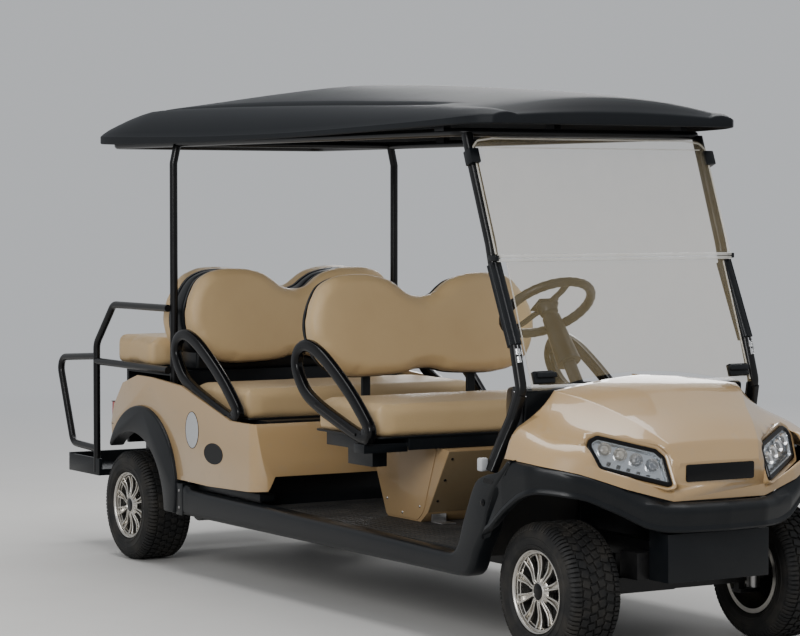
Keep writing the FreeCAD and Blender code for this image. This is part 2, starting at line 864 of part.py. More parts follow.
DASH_SIDE = ((2765, 545.3), (2765, 866), (2700, 876), (2520, 858), (2478, 820), (2476, 780), (2500, 700), (2560, 650),
             (2700, 560), (2752, 545.3))


def dash():
    """Dash between the struts, narrower towards the driver."""
    half = float(S.strut_half - S.strut_radius - 12)
    whole = slab([V(x, -half, z) for x, z in DASH_SIDE], V(0, 2 * half, 0))
    plan = [(2800, half), (2700, half), (2660, half - 16), (2476, half - 120), (2400, half - 120)]
    plan += [(x, -y) for x, y in reversed(plan)]
    return whole.common(slab([V(x, y, 500) for x, y in plan], V(0, 0, 500)))


feature("dash", dash())


def steering_column():
    """Shaft from the floor to the wheel with a shroud round its upper part."""
    tilt = math.radians(float(S.steering_tilt))
    axis = V(-math.sin(tilt), 0, math.cos(tilt))
    centre = vec(S.steering_x, S.steering_y, S.steering_height)
    top = centre - axis * 34
    foot = centre - axis * ((centre.z - float(S.floor_top)) / axis.z - 24)
    tube = rod(foot, top, 24)
    shroud = Part.makeCone(46, 34, 200, top - axis * 210, axis)
    pin_ = rod(top - axis, centre - axis * 4, 9)
    flange = Part.makeCylinder(52, 22, vec(foot.x, foot.y, S.floor_top), UP)
    return fused([tube, shroud, pin_, flange])


feature("steering_column", steering_column())


def steering_wheel():
    """Rim, three spokes and a hub, drawn flat and then tilted."""
    ring = Part.makeTorus(float(S.steering_radius), float(S.steering_rim))
    hub = Part.makeCylinder(36, 44, V(0, 0, -26))
    bore = Part.makeCylinder(9.4, 24.4, V(0, 0, -27))
    pieces = [ring, hub]
    for angle in (0, 150, 210):
        spoke = box(20, S.steering_radius, -16, 16, -7, 5)
        spoke.rotate(V(0, 0, 0), UP, angle)
        pieces.append(spoke)
    return fused(pieces).cut(bore)


feature("steering_wheel", steering_wheel(), S.steering_x, S.steering_y, S.steering_height, ACROSS, -S.steering_tilt)


def pedals():
    """Brake and accelerator pads on their arms, standing out of the toe board."""
    pieces = []
    for y, width in ((150, 70), (290, 60)):
        pad_ = slab([V(2585, y, 420), V(2600, y, 412), V(2650, y, 492), V(2635, y, 500)], V(0, width, 0))
        side = y + width / 2 - 8
        low, high = toe_board(400) - 0.4, toe_board(425) - 0.4
        arm = slab([V(2600, side, 400), V(low, side, 400), V(high, side, 425), V(2600, side, 425)], V(0, 16, 0))
        pieces.append(fused([pad_, arm]))
    return Part.makeCompound(pieces)


feature("pedals", pedals())

# Windshield and roof


def pane(label, half, low, high, tilt, drop=0, under=None):
    """One clear pane on the slope through the hinge; drop rounds its upper corners."""
    half = float(half)
    right = Part.LineSegment(V(0, half, low), V(0, half, high - drop)).toShape()
    left = Part.LineSegment(V(0, -half, high - drop), V(0, -half, low)).toShape()
    foot = Part.LineSegment(V(0, -half, low), V(0, half, low)).toShape()
    if drop:
        side = 85
        edges = [
            right,
            Part.Arc(V(0, half, high - drop), V(0, half - 22, high - 9.5), V(0, half - side, high)).toShape(),
            Part.LineSegment(V(0, half - side, high), V(0, side - half, high)).toShape(),
            Part.Arc(V(0, side - half, high), V(0, 22 - half, high - 9.5), V(0, -half, high - drop)).toShape(),
            left,
            foot,
        ]
    else:
        edges = [right, Part.LineSegment(V(0, half, high), V(0, -half, high)).toShape(), left, foot]
    shape = Part.Face(Part.Wire(edges)).extrude(V(float(S.glass_thick), 0, 0))
    if under is not None:
        shape = shape.cut(under)
    return feature(label, shape, S.hinge_x, None, S.hinge_height, ACROSS, tilt)


lower_length = float(S.lower_pane_length)
hinge_space = float(S.hinge_radius)
crown_cut = Part.makeCylinder(1500, 60, V(-20, 0, 52 - lower_length - 1500), ALONG)
pane("windshield_lower", S.lower_pane_half, -lower_length, -hinge_space - 2, -S.lower_pane_tilt, 0, crown_cut)
pane("windshield_upper", S.upper_pane_half, hinge_space, float(S.upper_pane_length), -S.upper_pane_tilt, 30)


# Centre line of a front strut from the roof down: x, inset from its place at the roof, height
STRUT = (
    (2460, 0, 1716),
    (2498, 0, 1616),
    (2601, 4, 1348),
    (2620, 4, 1282),
    (2749, 5, 1007),
    (2790, 3, 871),
    (2757, -9, 773),
    (2738, -39, 689),
    (2729, -76, 600),
)


def front_struts():
    """Bent struts with a thicker sleeve beside the lower pane."""
    path = [V(x, float(S.strut_half) - inset, z) for x, inset, z in STRUT]
    tube = bar(path, float(S.strut_radius), 36)
    along = (path[4] - path[3]).normalize()
    sleeve = rod(path[3] + along * 2, path[4] - along * 4, 24)
    return fused([tube, sleeve])


strut_pair = both_sides(front_struts())


def windshield_hinge():
    """A round bar between the panes, ahead of the struts, with a lug back to each, and clips on the upper pane."""
    x = float(S.hinge_x) + float(S.glass_thick) / 2
    z = float(S.hinge_height)
    half = float(S.upper_pane_half)
    radius = float(S.hinge_radius)
    pieces = [rod(V(x, -half, z), V(x, half, z), radius)]
    clips = []
    tilt = math.radians(float(S.upper_pane_tilt))
    gap = float(S.running_gap)
    pane_space = box(-gap, S.glass_thick + gap, -half - gap, half + gap, radius, 500)
    pane_space.rotate(V(0, 0, 0), ACROSS, -float(S.upper_pane_tilt))
    pane_space.translate(vec(S.hinge_x, 0, z))
    low, high = 1614, 1666
    ahead = [float(S.hinge_x) - (level - z) * math.tan(tilt) for level in (low, high)]
    side = [(ahead[0] - 26, low), (ahead[0] + 30, low), (ahead[1] + 30, high), (ahead[1] - 26, high)]
    for sign in (1, -1):
        y = sorted((sign * (half - 22), sign * (half + 4)))
        pieces.append(box(x - 42, x, y[0], y[1], z - 10, z + 7))
        start = half - 14 if sign > 0 else -half - 24
        clips.append(slab([V(u, start, v) for u, v in side], V(0, 38, 0)).cut(pane_space))
    whole = fused(pieces)
    return Part.makeCompound([whole] + clips).cut(strut_pair)


feature("windshield_hinge", windshield_hinge())

# Cross sections of the roof: share of its length, side inset, rise of the lip's underside, height of the lip,
# ridge inset, and drops of the ridge and of the crown from the roof's top
ROOF_SECTIONS = (
    (0.0000, 73, 14, 25, 138, 183, 180),
    (0.0188, 30, 12, 34, 100, 163, 148),
    (0.0366, 12, 10, 35, 88, 140, 118),
    (0.0947, 1, 5, 36, 78, 106, 70),
    (0.1705, 0, 2, 34, 76, 83, 42),
    (0.3552, 0, 0, 28, 76, 88, 8),
    (0.4600, 0, 2, 25, 76, 94, 0),
    (0.5795, 0, 5, 23, 76, 101, 10),
    (0.7774, 0, 15, 25, 76, 117, 43),
    (0.8862, 0, 22, 26, 78, 125, 66),
    (0.9522, 6, 27, 28, 88, 134, 85),
    (0.9819, 33, 30, 30, 123, 143, 98),
    (1.0000, 78, 30, 30, 178, 161, 150),
)


def roof_wire(row, inset=0.0, drop=0.0, shift=0.0):
    """One cross section: upright lip, bulging side up to the ridge, and an arched crown."""
    share, side, rise, lip, ridge, ridge_drop, crown_drop = row
    x = float(S.roof_rear) + share * float(S.roof_front - S.roof_rear) + shift
    half = float(S.roof_half) - side - inset
    low = float(S.roof_lip) + rise
    top = float(S.roof_crown) - inset
    right = [V(x, -half, low - drop), V(x, -half, low + lip - inset), V(x, -(half - ridge + side), top - ridge_drop)]
    run = right[2] - right[1]
    bulge = (right[1] + right[2]) * 0.5 + V(0, -run.z, run.y) * 0.1
    left = [V(x, -p.y, p.z) for p in reversed(right)]
    edges = [
        Part.LineSegment(right[0], right[1]).toShape(),
        Part.Arc(right[1], bulge, right[2]).toShape(),
        Part.Arc(right[2], V(x, 0, top - crown_drop), left[0]).toShape(),
        Part.Arc(left[0], V(x, -bulge.y, bulge.z), left[1]).toShape(),
        Part.LineSegment(left[1], left[2]).toShape(),
        Part.LineSegment(left[2], right[0]).toShape(),
    ]
    return Part.Wire(edges)


def roof_hollow():
    """The space under the roof's skin."""
    wall = float(S.roof_wall)
    last = len(ROOF_SECTIONS) - 1
    shifts = [wall if i == 0 else -wall if i == last else 0 for i in range(last + 1)]
    return loft([roof_wire(row, wall, 60, shift) for row, shift in zip(ROOF_SECTIONS, shifts)])


under_roof = roof_hollow()
feature("roof", loft([roof_wire(row) for row in ROOF_SECTIONS]).cut(under_roof))

ROOF_FRAME_HEIGHT = 1722


def roof_frame():
    """Ring of tube under the roof with a cross bar at the posts and pads up to the roof's skin."""
    z = ROOF_FRAME_HEIGHT
    half = float(S.ring_half)
    rear, front = -300, float(S.ring_front)
    pieces = [bar([V(rear, -half, z), V(front, -half, z), V(front, half, z), V(rear, half, z)], 15, 60, True)]
    for x in (-160, 700, 1500, 2300):
        for sign in (1, -1):
            y = sorted((sign * (half - 14), sign * (half + 14)))
            pieces.append(box(x, x + 60, y[0], y[1], z, z + 200).common(under_roof))
    ring = fused(pieces)
    # Seams between the straight tubes and the elbows
    elbow = 66
    for x in (rear + elbow, front - elbow):
        ring = ring.cut(box(x, x + 0.4, -half - 40, half + 40, z - 40, z + 40))
    for y in (half - elbow, elbow - half):
        ring = ring.cut(box(rear - 40, front + 40, y, y + 0.4, z - 40, z + 40))
    reach = half - 15.4
    cross = rod(vec(S.post_x, -reach, z), vec(S.post_x, reach, z), 13)
    return Part.makeCompound(ring.Solids + [cross])


frame_under_roof = roof_frame()
feature("roof_frame", frame_under_roof)
feature("front_struts", strut_pair.cut(frame_under_roof))


def rear_posts():
    """Upright posts from the frame to the roof frame, bent inwards at the top."""
    x = float(S.post_x)
    half = float(S.post_half)
    points = [V(x, half, 640), V(x, half, 1640), V(x, float(S.ring_half) + 2, 1716)]
    return bar(points, float(S.post_radius), 40)


post_pair = both_sides(rear_posts()).cut(frame_under_roof)
feature("rear_posts", post_pair)

# Seats


CUSHION_HALF = S.body_half - S.cushion_inset


def cushion(label, rear, front, low, thick, side_round=45):
    """A plain padded block with rounded corners."""
    half = float(CUSHION_HALF)
    shape = box(rear, front, -half, half, low, low + thick)
    edges = [e for e in shape.Edges if abs(e.tangentAt(0).z) > 0.99]
    shape = shape.makeFillet(side_round, edges)
    return feature(label, shape)


front_rear_edge = S.front_seat_front - S.cushion_depth
cushion("cushion_front", front_rear_edge, S.front_seat_front, S.front_seat_base, float(S.cushion_thick))
cushion(
    "cushion_middle",
    front_rear_edge - S.row_pitch,
    S.front_seat_front - S.row_pitch,
    S.middle_seat_base,
    float(S.cushion_thick),
)
cushion("cushion_rear", S.rear_seat_front, S.rear_seat_front + S.rear_seat_depth, S.rear_seat_base,
        float(S.cushion_thick))


def bow_tie(half):
    """Backrest outline with a lobe for each sitter: distance across, height above its lower edge."""
    low, top, dip, rise = 0.0, 391.0, 305.0, 22.0
    edges = [
        Part.Arc(V(0, -half, 190), V(0, -half + 62, 345), V(0, -313, top)).toShape(),
        Part.Arc(V(0, -313, top), V(0, -150, 372), V(0, -70, 318)).toShape(),
        Part.Arc(V(0, -70, 318), V(0, 0, dip), V(0, 70, 318)).toShape(),
        Part.Arc(V(0, 70, 318), V(0, 150, 372), V(0, 313, top)).toShape(),
        Part.Arc(V(0, 313, top), V(0, half - 62, 345), V(0, half, 190)).toShape(),
        Part.Arc(V(0, half, 190), V(0, half - 52, 52), V(0, 313, low)).toShape(),
        Part.Arc(V(0, 313, low), V(0, 130, low + 4), V(0, 45, rise)).toShape(),
        Part.LineSegment(V(0, 45, rise), V(0, -45, rise)).toShape(),
        Part.Arc(V(0, -45, rise), V(0, -130, low + 4), V(0, -313, low)).toShape(),
        Part.Arc(V(0, -313, low), V(0, -half + 52, 52), V(0, -half, 190)).toShape(),
    ]
    return Part.Face(Part.Wire(edges))


def backrest(label, x, low, lean, thick):
    """A backrest leaning by some degrees about its lower front edge."""
    shape = bow_tie(float(S.back_half)).extrude(V(-float(thick), 0, 0))
    return feature(label, shape, x, None, low, ACROSS, lean)


backrest("backrest_front", S.back_front_x, S.back_low, -S.back_lean, S.back_thick)
backrest("backrest_middle", S.back_front_x - S.row_pitch, S.back_low, -S.back_lean, S.back_thick)
backrest("backrest_rear", S.back_rear_x, S.back_low, S.rear_back_lean, -S.back_thick)


def back_face(x, lean, thick, rise):
    """A point on the hidden face of a backrest, so far up from its lower edge: x and height."""
    angle = math.radians(float(lean))
    across = float(thick)
    return (
        float(x) + across * math.cos(angle) + rise * math.sin(angle),
        float(S.back_low) - across * math.sin(angle) + rise * math.cos(angle),
    )



# Hip loops stand just inside the rear body's sides
HIP_HALF = S.body_half - S.body_wall - S.seat_gap - S.hip_radius


def front_seat_frame():
    """Tray with a skirt, two upright straps to the backrest and a bracket out to each hip loop."""
    low = float(S.front_seat_base)
    rear = float(front_rear_edge)
    front = float(S.front_seat_front)
    gap = float(S.seat_gap)
    half = float(CUSHION_HALF) - 130
    thick = float(S.base_thick)
    pieces = [
        box(rear - 2, front - 4, -half, half, low - thick, low - gap),
        box(rear - 140, rear, -262, 262, low - thick, low - gap),
        box(front - 14, front - 4, -half, half, low - 45, low - gap),
    ]
    foot = back_face(S.back_front_x, -S.back_lean, -S.back_thick, 0)
    head = back_face(S.back_front_x, -S.back_lean, -S.back_thick, 84)
    for sign in (1, -1):
        y = sorted((sign * 218, sign * 252))
        side = [V(foot[0] - gap, y[0], low - 20), V(foot[0] - gap, y[0], foot[1]), V(head[0] - gap, y[0], head[1])]
        side += [V(head[0] - 14, y[0], head[1]), V(foot[0] - 14, y[0], foot[1]), V(foot[0] - 14, y[0], low - 20)]
        pieces.append(slab(side, V(0, 34, 0)))
        span = sorted((sign * (half - 4), sign * (half + 100)))
        pieces.append(box(front - 424, front - 90, span[0], span[1], low - 51, low - gap))
        span = sorted((sign * (half + 40), sign * (half + 100)))
        pieces.append(box(front - 267, front - 92, span[0], span[1], low - 108, low - 50))
        y = sorted((sign * (half - 4), sign * (float(HIP_HALF) + 12)))
        pieces.append(box(front - 92, front - 20, y[0], y[1], low - 51, low - 18.6))
    return fused(pieces)


feature("front_seat_frame", front_seat_frame())


def front_pedestal():
    """Hollow tapered box from the floor to the tray, with its plates leaning in."""
    top = float(S.front_seat_base - S.base_thick) - 0.3
    low = float(S.floor_top) + 0.3
    half = float(S.pedestal_half)
    wall = float(S.wall)

    def ring(inset, z0, z1):
        front = float(S.front_seat_front)
        base = float(S.front_seat_base)
        side = [(inset - 393, z0), (-160 - inset * 0.5, z0), (-112 - inset, low + 37), (35 - inset * 1.3, base - 52 - inset),
                (-17 - inset, base - 46 - inset), (-17 - inset, z1), (inset - 455, z1), (inset - 506, low + 232)]
        return slab([V(front + x, inset - half, z) for x, z in side], V(0, 2 * (half - inset), 0))

    return ring(0, low, top).cut(ring(wall, low - 1, top + 1))


feature("front_pedestal", front_pedestal())

# A hip loop in its own plane: x behind the seat's front edge, height above the seat's base
HIP_LOOP = ((-542, 260), (-488, 317), (-352, 303), (-135, 161), (25, 27), (-45, -5), (-375, 97), (-505, 170))


def hip_loops(front, base):
    points = [V(float(front) + x, float(HIP_HALF), float(base) + z) for x, z in HIP_LOOP]
    return both_sides(bar(points, float(S.hip_radius), 26, True))


feature("hip_loops_front", hip_loops(S.front_seat_front, S.front_seat_base))
feature("hip_loops_middle", hip_loops(S.front_seat_front - S.row_pitch + 2, S.middle_seat_base))

# Rear body

# Arch of a rear flare seen from the side: outer and inner arc points, x and height
FLARE_OUTER = ((-126, 478), (86, 642), (478, 240))
FLARE_INNER = ((-118, 462), (60, 536), (385, 240))

rear_outline = [
    (-118, 470),
    (-132, 560),
    (-105, 640),
    (-20, 735),
    (120, 774),
    (250, 772),
    (520, 752),
    (940, 642),
    (1130, 641),
    (1164, 386),
    (1073, 381),
    (753, 373),
    (544, 377),
    (440, 377),
]


def tail_light():
    """Upright lamp in the rear corner of the body."""
    return box(-128, -104, S.body_half - 50, S.body_half - 3, 560, 650)


tail_lamps = both_sides(tail_light())
feature("tail_lights", tail_lamps)


def rear_body():
    """Side panels and front face as one shell, arched over the rear wheels and recessed at the floor."""
    half = float(S.body_half)
    wall = float(S.body_wall)
    outline_ = [V(x, -half, z) for x, z in rear_outline]
    outer = slab(outline_, V(0, 2 * half, 0))
    plan = box(-200, 1163, -half, half, 300, 900)
    corners = [e for e in plan.Edges if abs(e.tangentAt(0).z) > 0.99 and e.valueAt(0).x > 1000]
    outer = outer.common(plan.makeFillet(75, corners))
    inner = box(-300, 1118, -half + wall, half - wall, 300, 900)
    shell = outer.cut(inner)
    o = [V(x, -700, z) for x, z in FLARE_OUTER]
    low = [V(o[2].x, -700, 200), V(-200, -700, 200), V(-200, -700, o[0].z)]
    run = [o[2]] + low + [o[0]]
    edges = [Part.Arc(*o).toShape()] + [Part.LineSegment(a, b).toShape() for a, b in zip(run, run[1:])]
    arch = Part.Face(Part.Wire(edges)).extrude(V(0, 1400, 0))
    foot, neck = half - 50, half - 81
    recess = slab([V(1040, -foot, 300), V(1040, foot, 300), V(1040, foot, 388), V(1040, neck, 441), V(1040, -neck, 441),
                   V(1040, -foot, 388)], V(260, 0, 0))
    return shell.cut(arch).cut(recess).cut(tail_lamps)


feature("rear_body", rear_body())


def seat_deck():
    """Inner box that carries the middle and rear seats, with the kick board behind the recess."""
    half = float(CUSHION_HALF) - 40
    gap = float(S.seat_gap)
    kick = float(S.battery_front) + 12
    low = float(rail_top) + gap
    pieces = [
        box(330, 1029.7, 10 - half, half - 10, 600, S.middle_seat_base - gap),
        box(-200, 120, -half, half, 772, S.rear_seat_base - gap),
        box(kick, 1029.7, -half - 10, half + 10, low, 601),
        box(-200, -180, -half, half, 470, 773),
        box(110, 330, -half, half, 772, 800),
        box(330, 345, -half, half, 630, 800),
        box(-195, -150, -325, -275, 460.3, 500),
        box(-195, -150, 275, 325, 460.3, 500),
    ]
    for sign in (1, -1):
        y = sorted((sign * (half + 8), sign * (S.body_half.value - 35)))
        pieces.append(box(602, 1117, y[0], y[1], 345.3, 372))
    return fused(pieces)


feature("seat_deck", seat_deck())


def back_shell():
    """Moulded wedge between the two rear backrests that carries both."""
    gap = float(S.seat_gap)
    low = 800.3
    middle = [back_face(S.back_front_x - S.row_pitch, -S.back_lean, -S.back_thick, rise) for rise in (0, 345)]
    rear = [back_face(S.back_rear_x, S.rear_back_lean, S.back_thick, rise) for rise in (0, 345)]
    top = min(middle[1][1], rear[1][1])
    side = [
        (rear[0][0] + gap, low),
        (middle[0][0] - gap, low),
        (middle[0][0] - gap, middle[0][1]),
        (middle[1][0] - gap, top),
        (rear[1][0] + gap, top),
        (rear[0][0] + gap, rear[0][1]),
    ]
    return slab([V(x, -485, z) for x, z in side], V(0, 970, 0))


feature("back_shell", back_shell())

def rear_flare(sign):
    """Band round the rear wheel opening, thicker than the panel it covers."""
    depth = float(S.flare_depth)
    y0 = float(S.flare_half) - depth
    o = [V(x, y0, z) for x, z in FLARE_OUTER]
    i = [V(x, y0, z) for x, z in FLARE_INNER]
    edges = [
        Part.Arc(o[0], o[1], o[2]).toShape(),
        Part.LineSegment(o[2], i[2]).toShape(),
        Part.Arc(i[2], i[1], i[0]).toShape(),
        Part.LineSegment(i[0], o[0]).toShape(),
    ]
    solid = Part.Face(Part.Wire(edges)).extrude(V(0, depth, 0))
    return solid if sign > 0 else mirrored(solid)


feature("rear_flares", both_sides(rear_flare(1)))


def rear_rail():
    """Grab rail, lower rail and guard loop of one side, as one weldment."""
    y = float(S.rear_rail_half)
    radius = float(S.rail_radius)
    grab = bar(in_plane(((310, 1054), (-205, 1052), (-376, 880), (-376, 330)), y), radius, 60)
    lower = bar(in_plane(((-376, 805), (310, 802)), y), radius, 30)
    loop = bar(in_plane(((-376, 826), (-767.4, 803), (-618, 438), (-376, 430)), y), radius, 50)
    return fused([grab, lower, loop])


def footplate():
    """Folded deck for the feet of those who face back, on two arms from the frame."""
    deck = box(-640, -330, -560, 560, 318, 345)
    lip = box(-640, -620, -560, 560, 345, 395)
    side = box(-640, -330, -560, -545, 345, 390)
    pieces = [deck, lip, side, mirrored(side)]
    for sign in (1, -1):
        y = sorted((sign * 275, sign * 325))
        pieces.append(box(-400, -330, y[0], y[1], 345, 394.7))
    whole = fused(pieces)
    for x in (-0.5, 0.5):
        for y in (-0.5, 0.5):
            spot = V(-485 + x * float(S.foot_bolt_spacing_x), y * float(S.foot_bolt_spacing_y), 300)
            whole = whole.cut(Part.makeCylinder(float(S.foot_bolt_radius), 80, spot))
    return whole


foot_deck = footplate()
feature("footplate", foot_deck)
feature("rear_rails", both_sides(rear_rail()).cut(foot_deck).cut(post_pair))

doc.recompute()

# Nothing is written unless every object and every sub-part is sound
for item in doc.Objects:
    if "Invalid" in item.State or "Error" in item.State:
        raise RuntimeError("%s failed: %s" % (item.Label, item.State))
for item in subparts:
    if item.Shape.isNull() or not item.Shape.isValid() or not item.Shape.Solids:
        raise RuntimeError("%s has no sound shape" % item.Label)
for item in subparts:
    item.Shape.exportStep("parts/%s.step" % item.Label)
print(len(subparts), "sub-parts written")
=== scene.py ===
"""Finished look of a six-seat golf cart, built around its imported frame.

Lengths are metres. Every piece is drawn with x = 0 at the rear axle, +X forward, +Y to the cart's left side and
z = 0 on the ground, and is moved by AXLE_X, the rear axle's place in the frame, when it is finished.
"""

import json
import logging
import math
from dataclasses import dataclass, field
from enum import Enum
from typing import Callable, Iterable, Optional, Sequence, Union

import bmesh
import bpy
from mathutils import Matrix, Vector


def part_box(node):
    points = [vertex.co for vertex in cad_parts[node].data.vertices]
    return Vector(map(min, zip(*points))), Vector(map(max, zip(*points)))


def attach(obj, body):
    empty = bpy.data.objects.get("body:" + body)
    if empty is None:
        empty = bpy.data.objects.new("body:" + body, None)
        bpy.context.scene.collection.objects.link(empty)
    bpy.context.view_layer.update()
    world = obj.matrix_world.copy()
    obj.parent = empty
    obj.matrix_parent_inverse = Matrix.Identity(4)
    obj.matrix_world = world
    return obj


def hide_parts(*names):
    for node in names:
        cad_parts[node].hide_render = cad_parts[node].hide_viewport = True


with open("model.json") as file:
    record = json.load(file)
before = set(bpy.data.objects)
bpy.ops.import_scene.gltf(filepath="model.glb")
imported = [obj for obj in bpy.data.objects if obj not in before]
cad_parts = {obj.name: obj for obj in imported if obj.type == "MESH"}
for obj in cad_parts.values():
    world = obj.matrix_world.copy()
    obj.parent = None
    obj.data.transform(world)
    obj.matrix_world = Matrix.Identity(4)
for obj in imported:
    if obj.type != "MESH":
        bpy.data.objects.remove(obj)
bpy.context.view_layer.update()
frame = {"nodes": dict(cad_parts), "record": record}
LOG = logging.getLogger("golf_cart")
_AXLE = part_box("rear_axle")
AXLE_X = (_AXLE[0].x + _AXLE[1].x) / 2
SLOTS = {row["node"]: row["material_slot"] for row in frame["record"]["subparts"]}
ORIGIN, ACROSS, AHEAD, UP = (0, 0, 0), (0, 1, 0), (1, 0, 0), (0, 0, 1)

Colour = tuple[float, float, float]
Spot = Sequence[float]
Pairs = Sequence[tuple[float, float]]


class Side(Enum):
    """A side of the cart, with the sign of its y."""

    LEFT = 1
    RIGHT = -1

    @property
    def tag(self) -> str:
        """The side as it stands in names."""
        return self.name.lower()


# Shaders


class Wire:
    """A shader socket that takes part in Python arithmetic."""

    def __init__(self, tree: bpy.types.NodeTree, socket: bpy.types.NodeSocket) -> None:
        """Keep the socket and the tree that it is in."""
        self.tree, self.socket = tree, socket

    def math(self, operation: str, *values: "Operand") -> "Wire":
        """Add a Math node.

        Args:
            operation: The node's operation.
            values: Its inputs in order, wires or numbers.

        Returns:
            The node's result.
        """
        item = self.tree.nodes.new("ShaderNodeMath")
        item.operation = operation
        for slot, value in zip(item.inputs, values):
            if isinstance(value, Wire):
                self.tree.links.new(value.socket, slot)
            else:
                slot.default_value = value
        return Wire(self.tree, item.outputs[0])

    def __add__(self, other: "Operand") -> "Wire":
        """Sum."""
        return self.math("ADD", self, other)

    def __sub__(self, other: "Operand") -> "Wire":
        """Difference."""
        return self.math("SUBTRACT", self, other)

    def __mul__(self, other: "Operand") -> "Wire":
        """Product."""
        return self.math("MULTIPLY", self, other)

    def __truediv__(self, other: "Operand") -> "Wire":
        """Quotient."""
        return self.math("DIVIDE", self, other)

    def __pow__(self, other: "Operand") -> "Wire":
        """Power."""
        return self.math("POWER", self, other)

    def __rsub__(self, other: "Operand") -> "Wire":
        """What is left of a value."""
        return self.math("SUBTRACT", other, self)

    def __rtruediv__(self, other: "Operand") -> "Wire":
        """A value's quotient by this one."""
        return self.math("DIVIDE", other, self)

    def __rpow__(self, other: "Operand") -> "Wire":
        """A value raised to this one."""
        return self.math("POWER", other, self)

    def under(self, other: "Operand") -> "Wire":
        """The lesser of two values."""
        return self.math("MINIMUM", self, other)

    def clamp(self) -> "Wire":
        """The value held between nought and one."""
        return self.math("MAXIMUM", self, 0.0).under(1.0)

    __radd__ = __add__
    __rmul__ = __mul__


Operand = Union[Wire, float]


class Shader:
    """A material's node tree, with a Principled BSDF at its end."""

    def __init__(self, name: str) -> None:
        """Start an empty material of that name.

        Args:
            name: The material's name.
        """
        self.material = bpy.data.materials.new(name)
        self.material.use_nodes = True
        self.tree = self.material.node_tree
        self.tree.nodes.clear()
        self.end = self.tree.nodes.new("ShaderNodeOutputMaterial")
        self.base = self.tree.nodes.new("ShaderNodeBsdfPrincipled")
        self.show(Wire(self.tree, self.base.outputs[0]))
        self.place = self.node("ShaderNodeTexCoord", output="Object")

    def show(self, surface: Wire) -> None:
        """Link the material's surface."""
        self.tree.links.new(surface.socket, self.end.inputs["Surface"])

    def node(self, kind: str, settings: Optional[dict] = None, output: Union[int, str] = 0, **inputs: object) -> Wire:
        """Add any node that isn't a Math node.

        Args:
            kind: The node's type.
            settings: Its properties, set before its sockets.
            output: The socket that is returned.
            inputs: Wires or values by socket name, with _ for a space, or "i0", "i1" by place.

        Returns:
            The chosen output.
        """
        item = self.tree.nodes.new(kind)
        for key, value in (settings or {}).items():
            setattr(item, key, value)
        for key, value in inputs.items():
            self.feed(item.inputs[int(key[1:]) if key[1:].isdigit() else key.replace("_", " ")], value)
        return Wire(self.tree, item.outputs[output])

    def feed(self, slot: bpy.types.NodeSocket, value: object) -> None:
        """Link a wire to a socket or set its value.

        Args:
            slot: The socket.
            value: A wire, a number or a colour, which gets its alpha here.
        """
        if isinstance(value, Wire):
            self.tree.links.new(value.socket, slot)
        else:
            slot.default_value = (*value, 1.0) if slot.type == "RGBA" else value

    def set(self, **inputs: object) -> None:
        """Feed the Principled BSDF's sockets by name."""
        for key, value in inputs.items():
            self.feed(self.base.inputs[key.replace("_", " ")], value)

    def noise(self, scale: float, detail: float = 3.0) -> Wire:
        """Noise from nought to one, by its spots to the metre and its octaves."""
        return self.node("ShaderNodeTexNoise", {}, "Fac", Vector=self.place, Scale=scale, Detail=detail, Roughness=0.55)

    def patches(self, scale: float, detail: float, floor: float, gain: float) -> Wire:
        """The part of a noise that rises above a floor, times a gain."""
        return ((self.noise(scale, detail) - floor) * gain).clamp()

    def mix(self, factor: Operand, first: Union[Wire, Colour], second: Union[Wire, Colour]) -> Wire:
        """Blend two colours by a factor."""
        return self.node("ShaderNodeMix", {"data_type": "RGBA"}, 2, i0=factor, i6=first, i7=second)

    def bump(self, height: Wire, distance: float, strength: float) -> None:
        """Let a height in metres times distance tilt the surface."""
        self.set(Normal=self.node("ShaderNodeBump", {}, "Normal", Height=height, Distance=distance, Strength=strength))


@dataclass(frozen=True)
class Finish:
    """A named surface of one colour; each kind of surface dresses its own shader."""

    name: str
    colour: Colour

    def dress(self, shader: Shader) -> None:
        """Feed the shader."""
        raise NotImplementedError

    def build(self) -> bpy.types.Material:
        """Make the material.

        Returns:
            The material.
        """
        shader = Shader(self.name)
        self.dress(shader)
        return shader.material


@dataclass(frozen=True)
class Moulding(Finish):
    """Moulded plastic or coated metal with a fine grain and faint dust."""

    roughness: float = 0.45
    grain: float = 900.0
    depth: float = 0.00015
    dust: float = 0.25
    dusty: Colour = (0.16, 0.15, 0.13)
    coat: float = 0.0
    specular: float = 0.5

    def dress(self, shader: Shader) -> None:
        """Grain under a film of dust that lies in patches and specks.

        Args:
            shader: The material's shader.
        """
        both = shader.noise(7.0, 4.0) * 0.7 + shader.noise(95.0, 3.0) * 0.3
        film = ((both - 0.45) * 2.2).clamp() * self.dust
        shader.set(Base_Color=shader.mix(film, self.colour, self.dusty), Coat_Weight=self.coat, Coat_Roughness=0.06,
                   Roughness=(film * 0.5 + self.roughness).clamp(), Specular_IOR_Level=self.specular)
        shader.bump(shader.noise(self.grain, 2.0), self.depth, 0.6)


@dataclass(frozen=True)
class GlossPaint(Finish):
    """Glossy body moulding: a colour with a slight waviness under a clear coat."""

    shade: Colour
    roughness: float = 0.3
    coat: float = 0.9
    dirty: Colour = (0.30, 0.26, 0.20)

    def dress(self, shader: Shader) -> None:
        """Drifting colour, a little dirt and a coat.

        Args:
            shader: The material's shader.
        """
        tone = shader.mix((shader.noise(2.3, 2.0) - 0.3).clamp(), self.colour, self.shade)
        dirt = shader.patches(26.0, 5.0, 0.56, 3.0) * 0.3
        shader.set(Base_Color=shader.mix(dirt, tone, self.dirty), Roughness=dirt * 0.8 + self.roughness,
                   Coat_Weight=self.coat, Coat_Roughness=0.035)
        shader.bump(shader.noise(160.0, 1.0), 0.00006, 0.5)


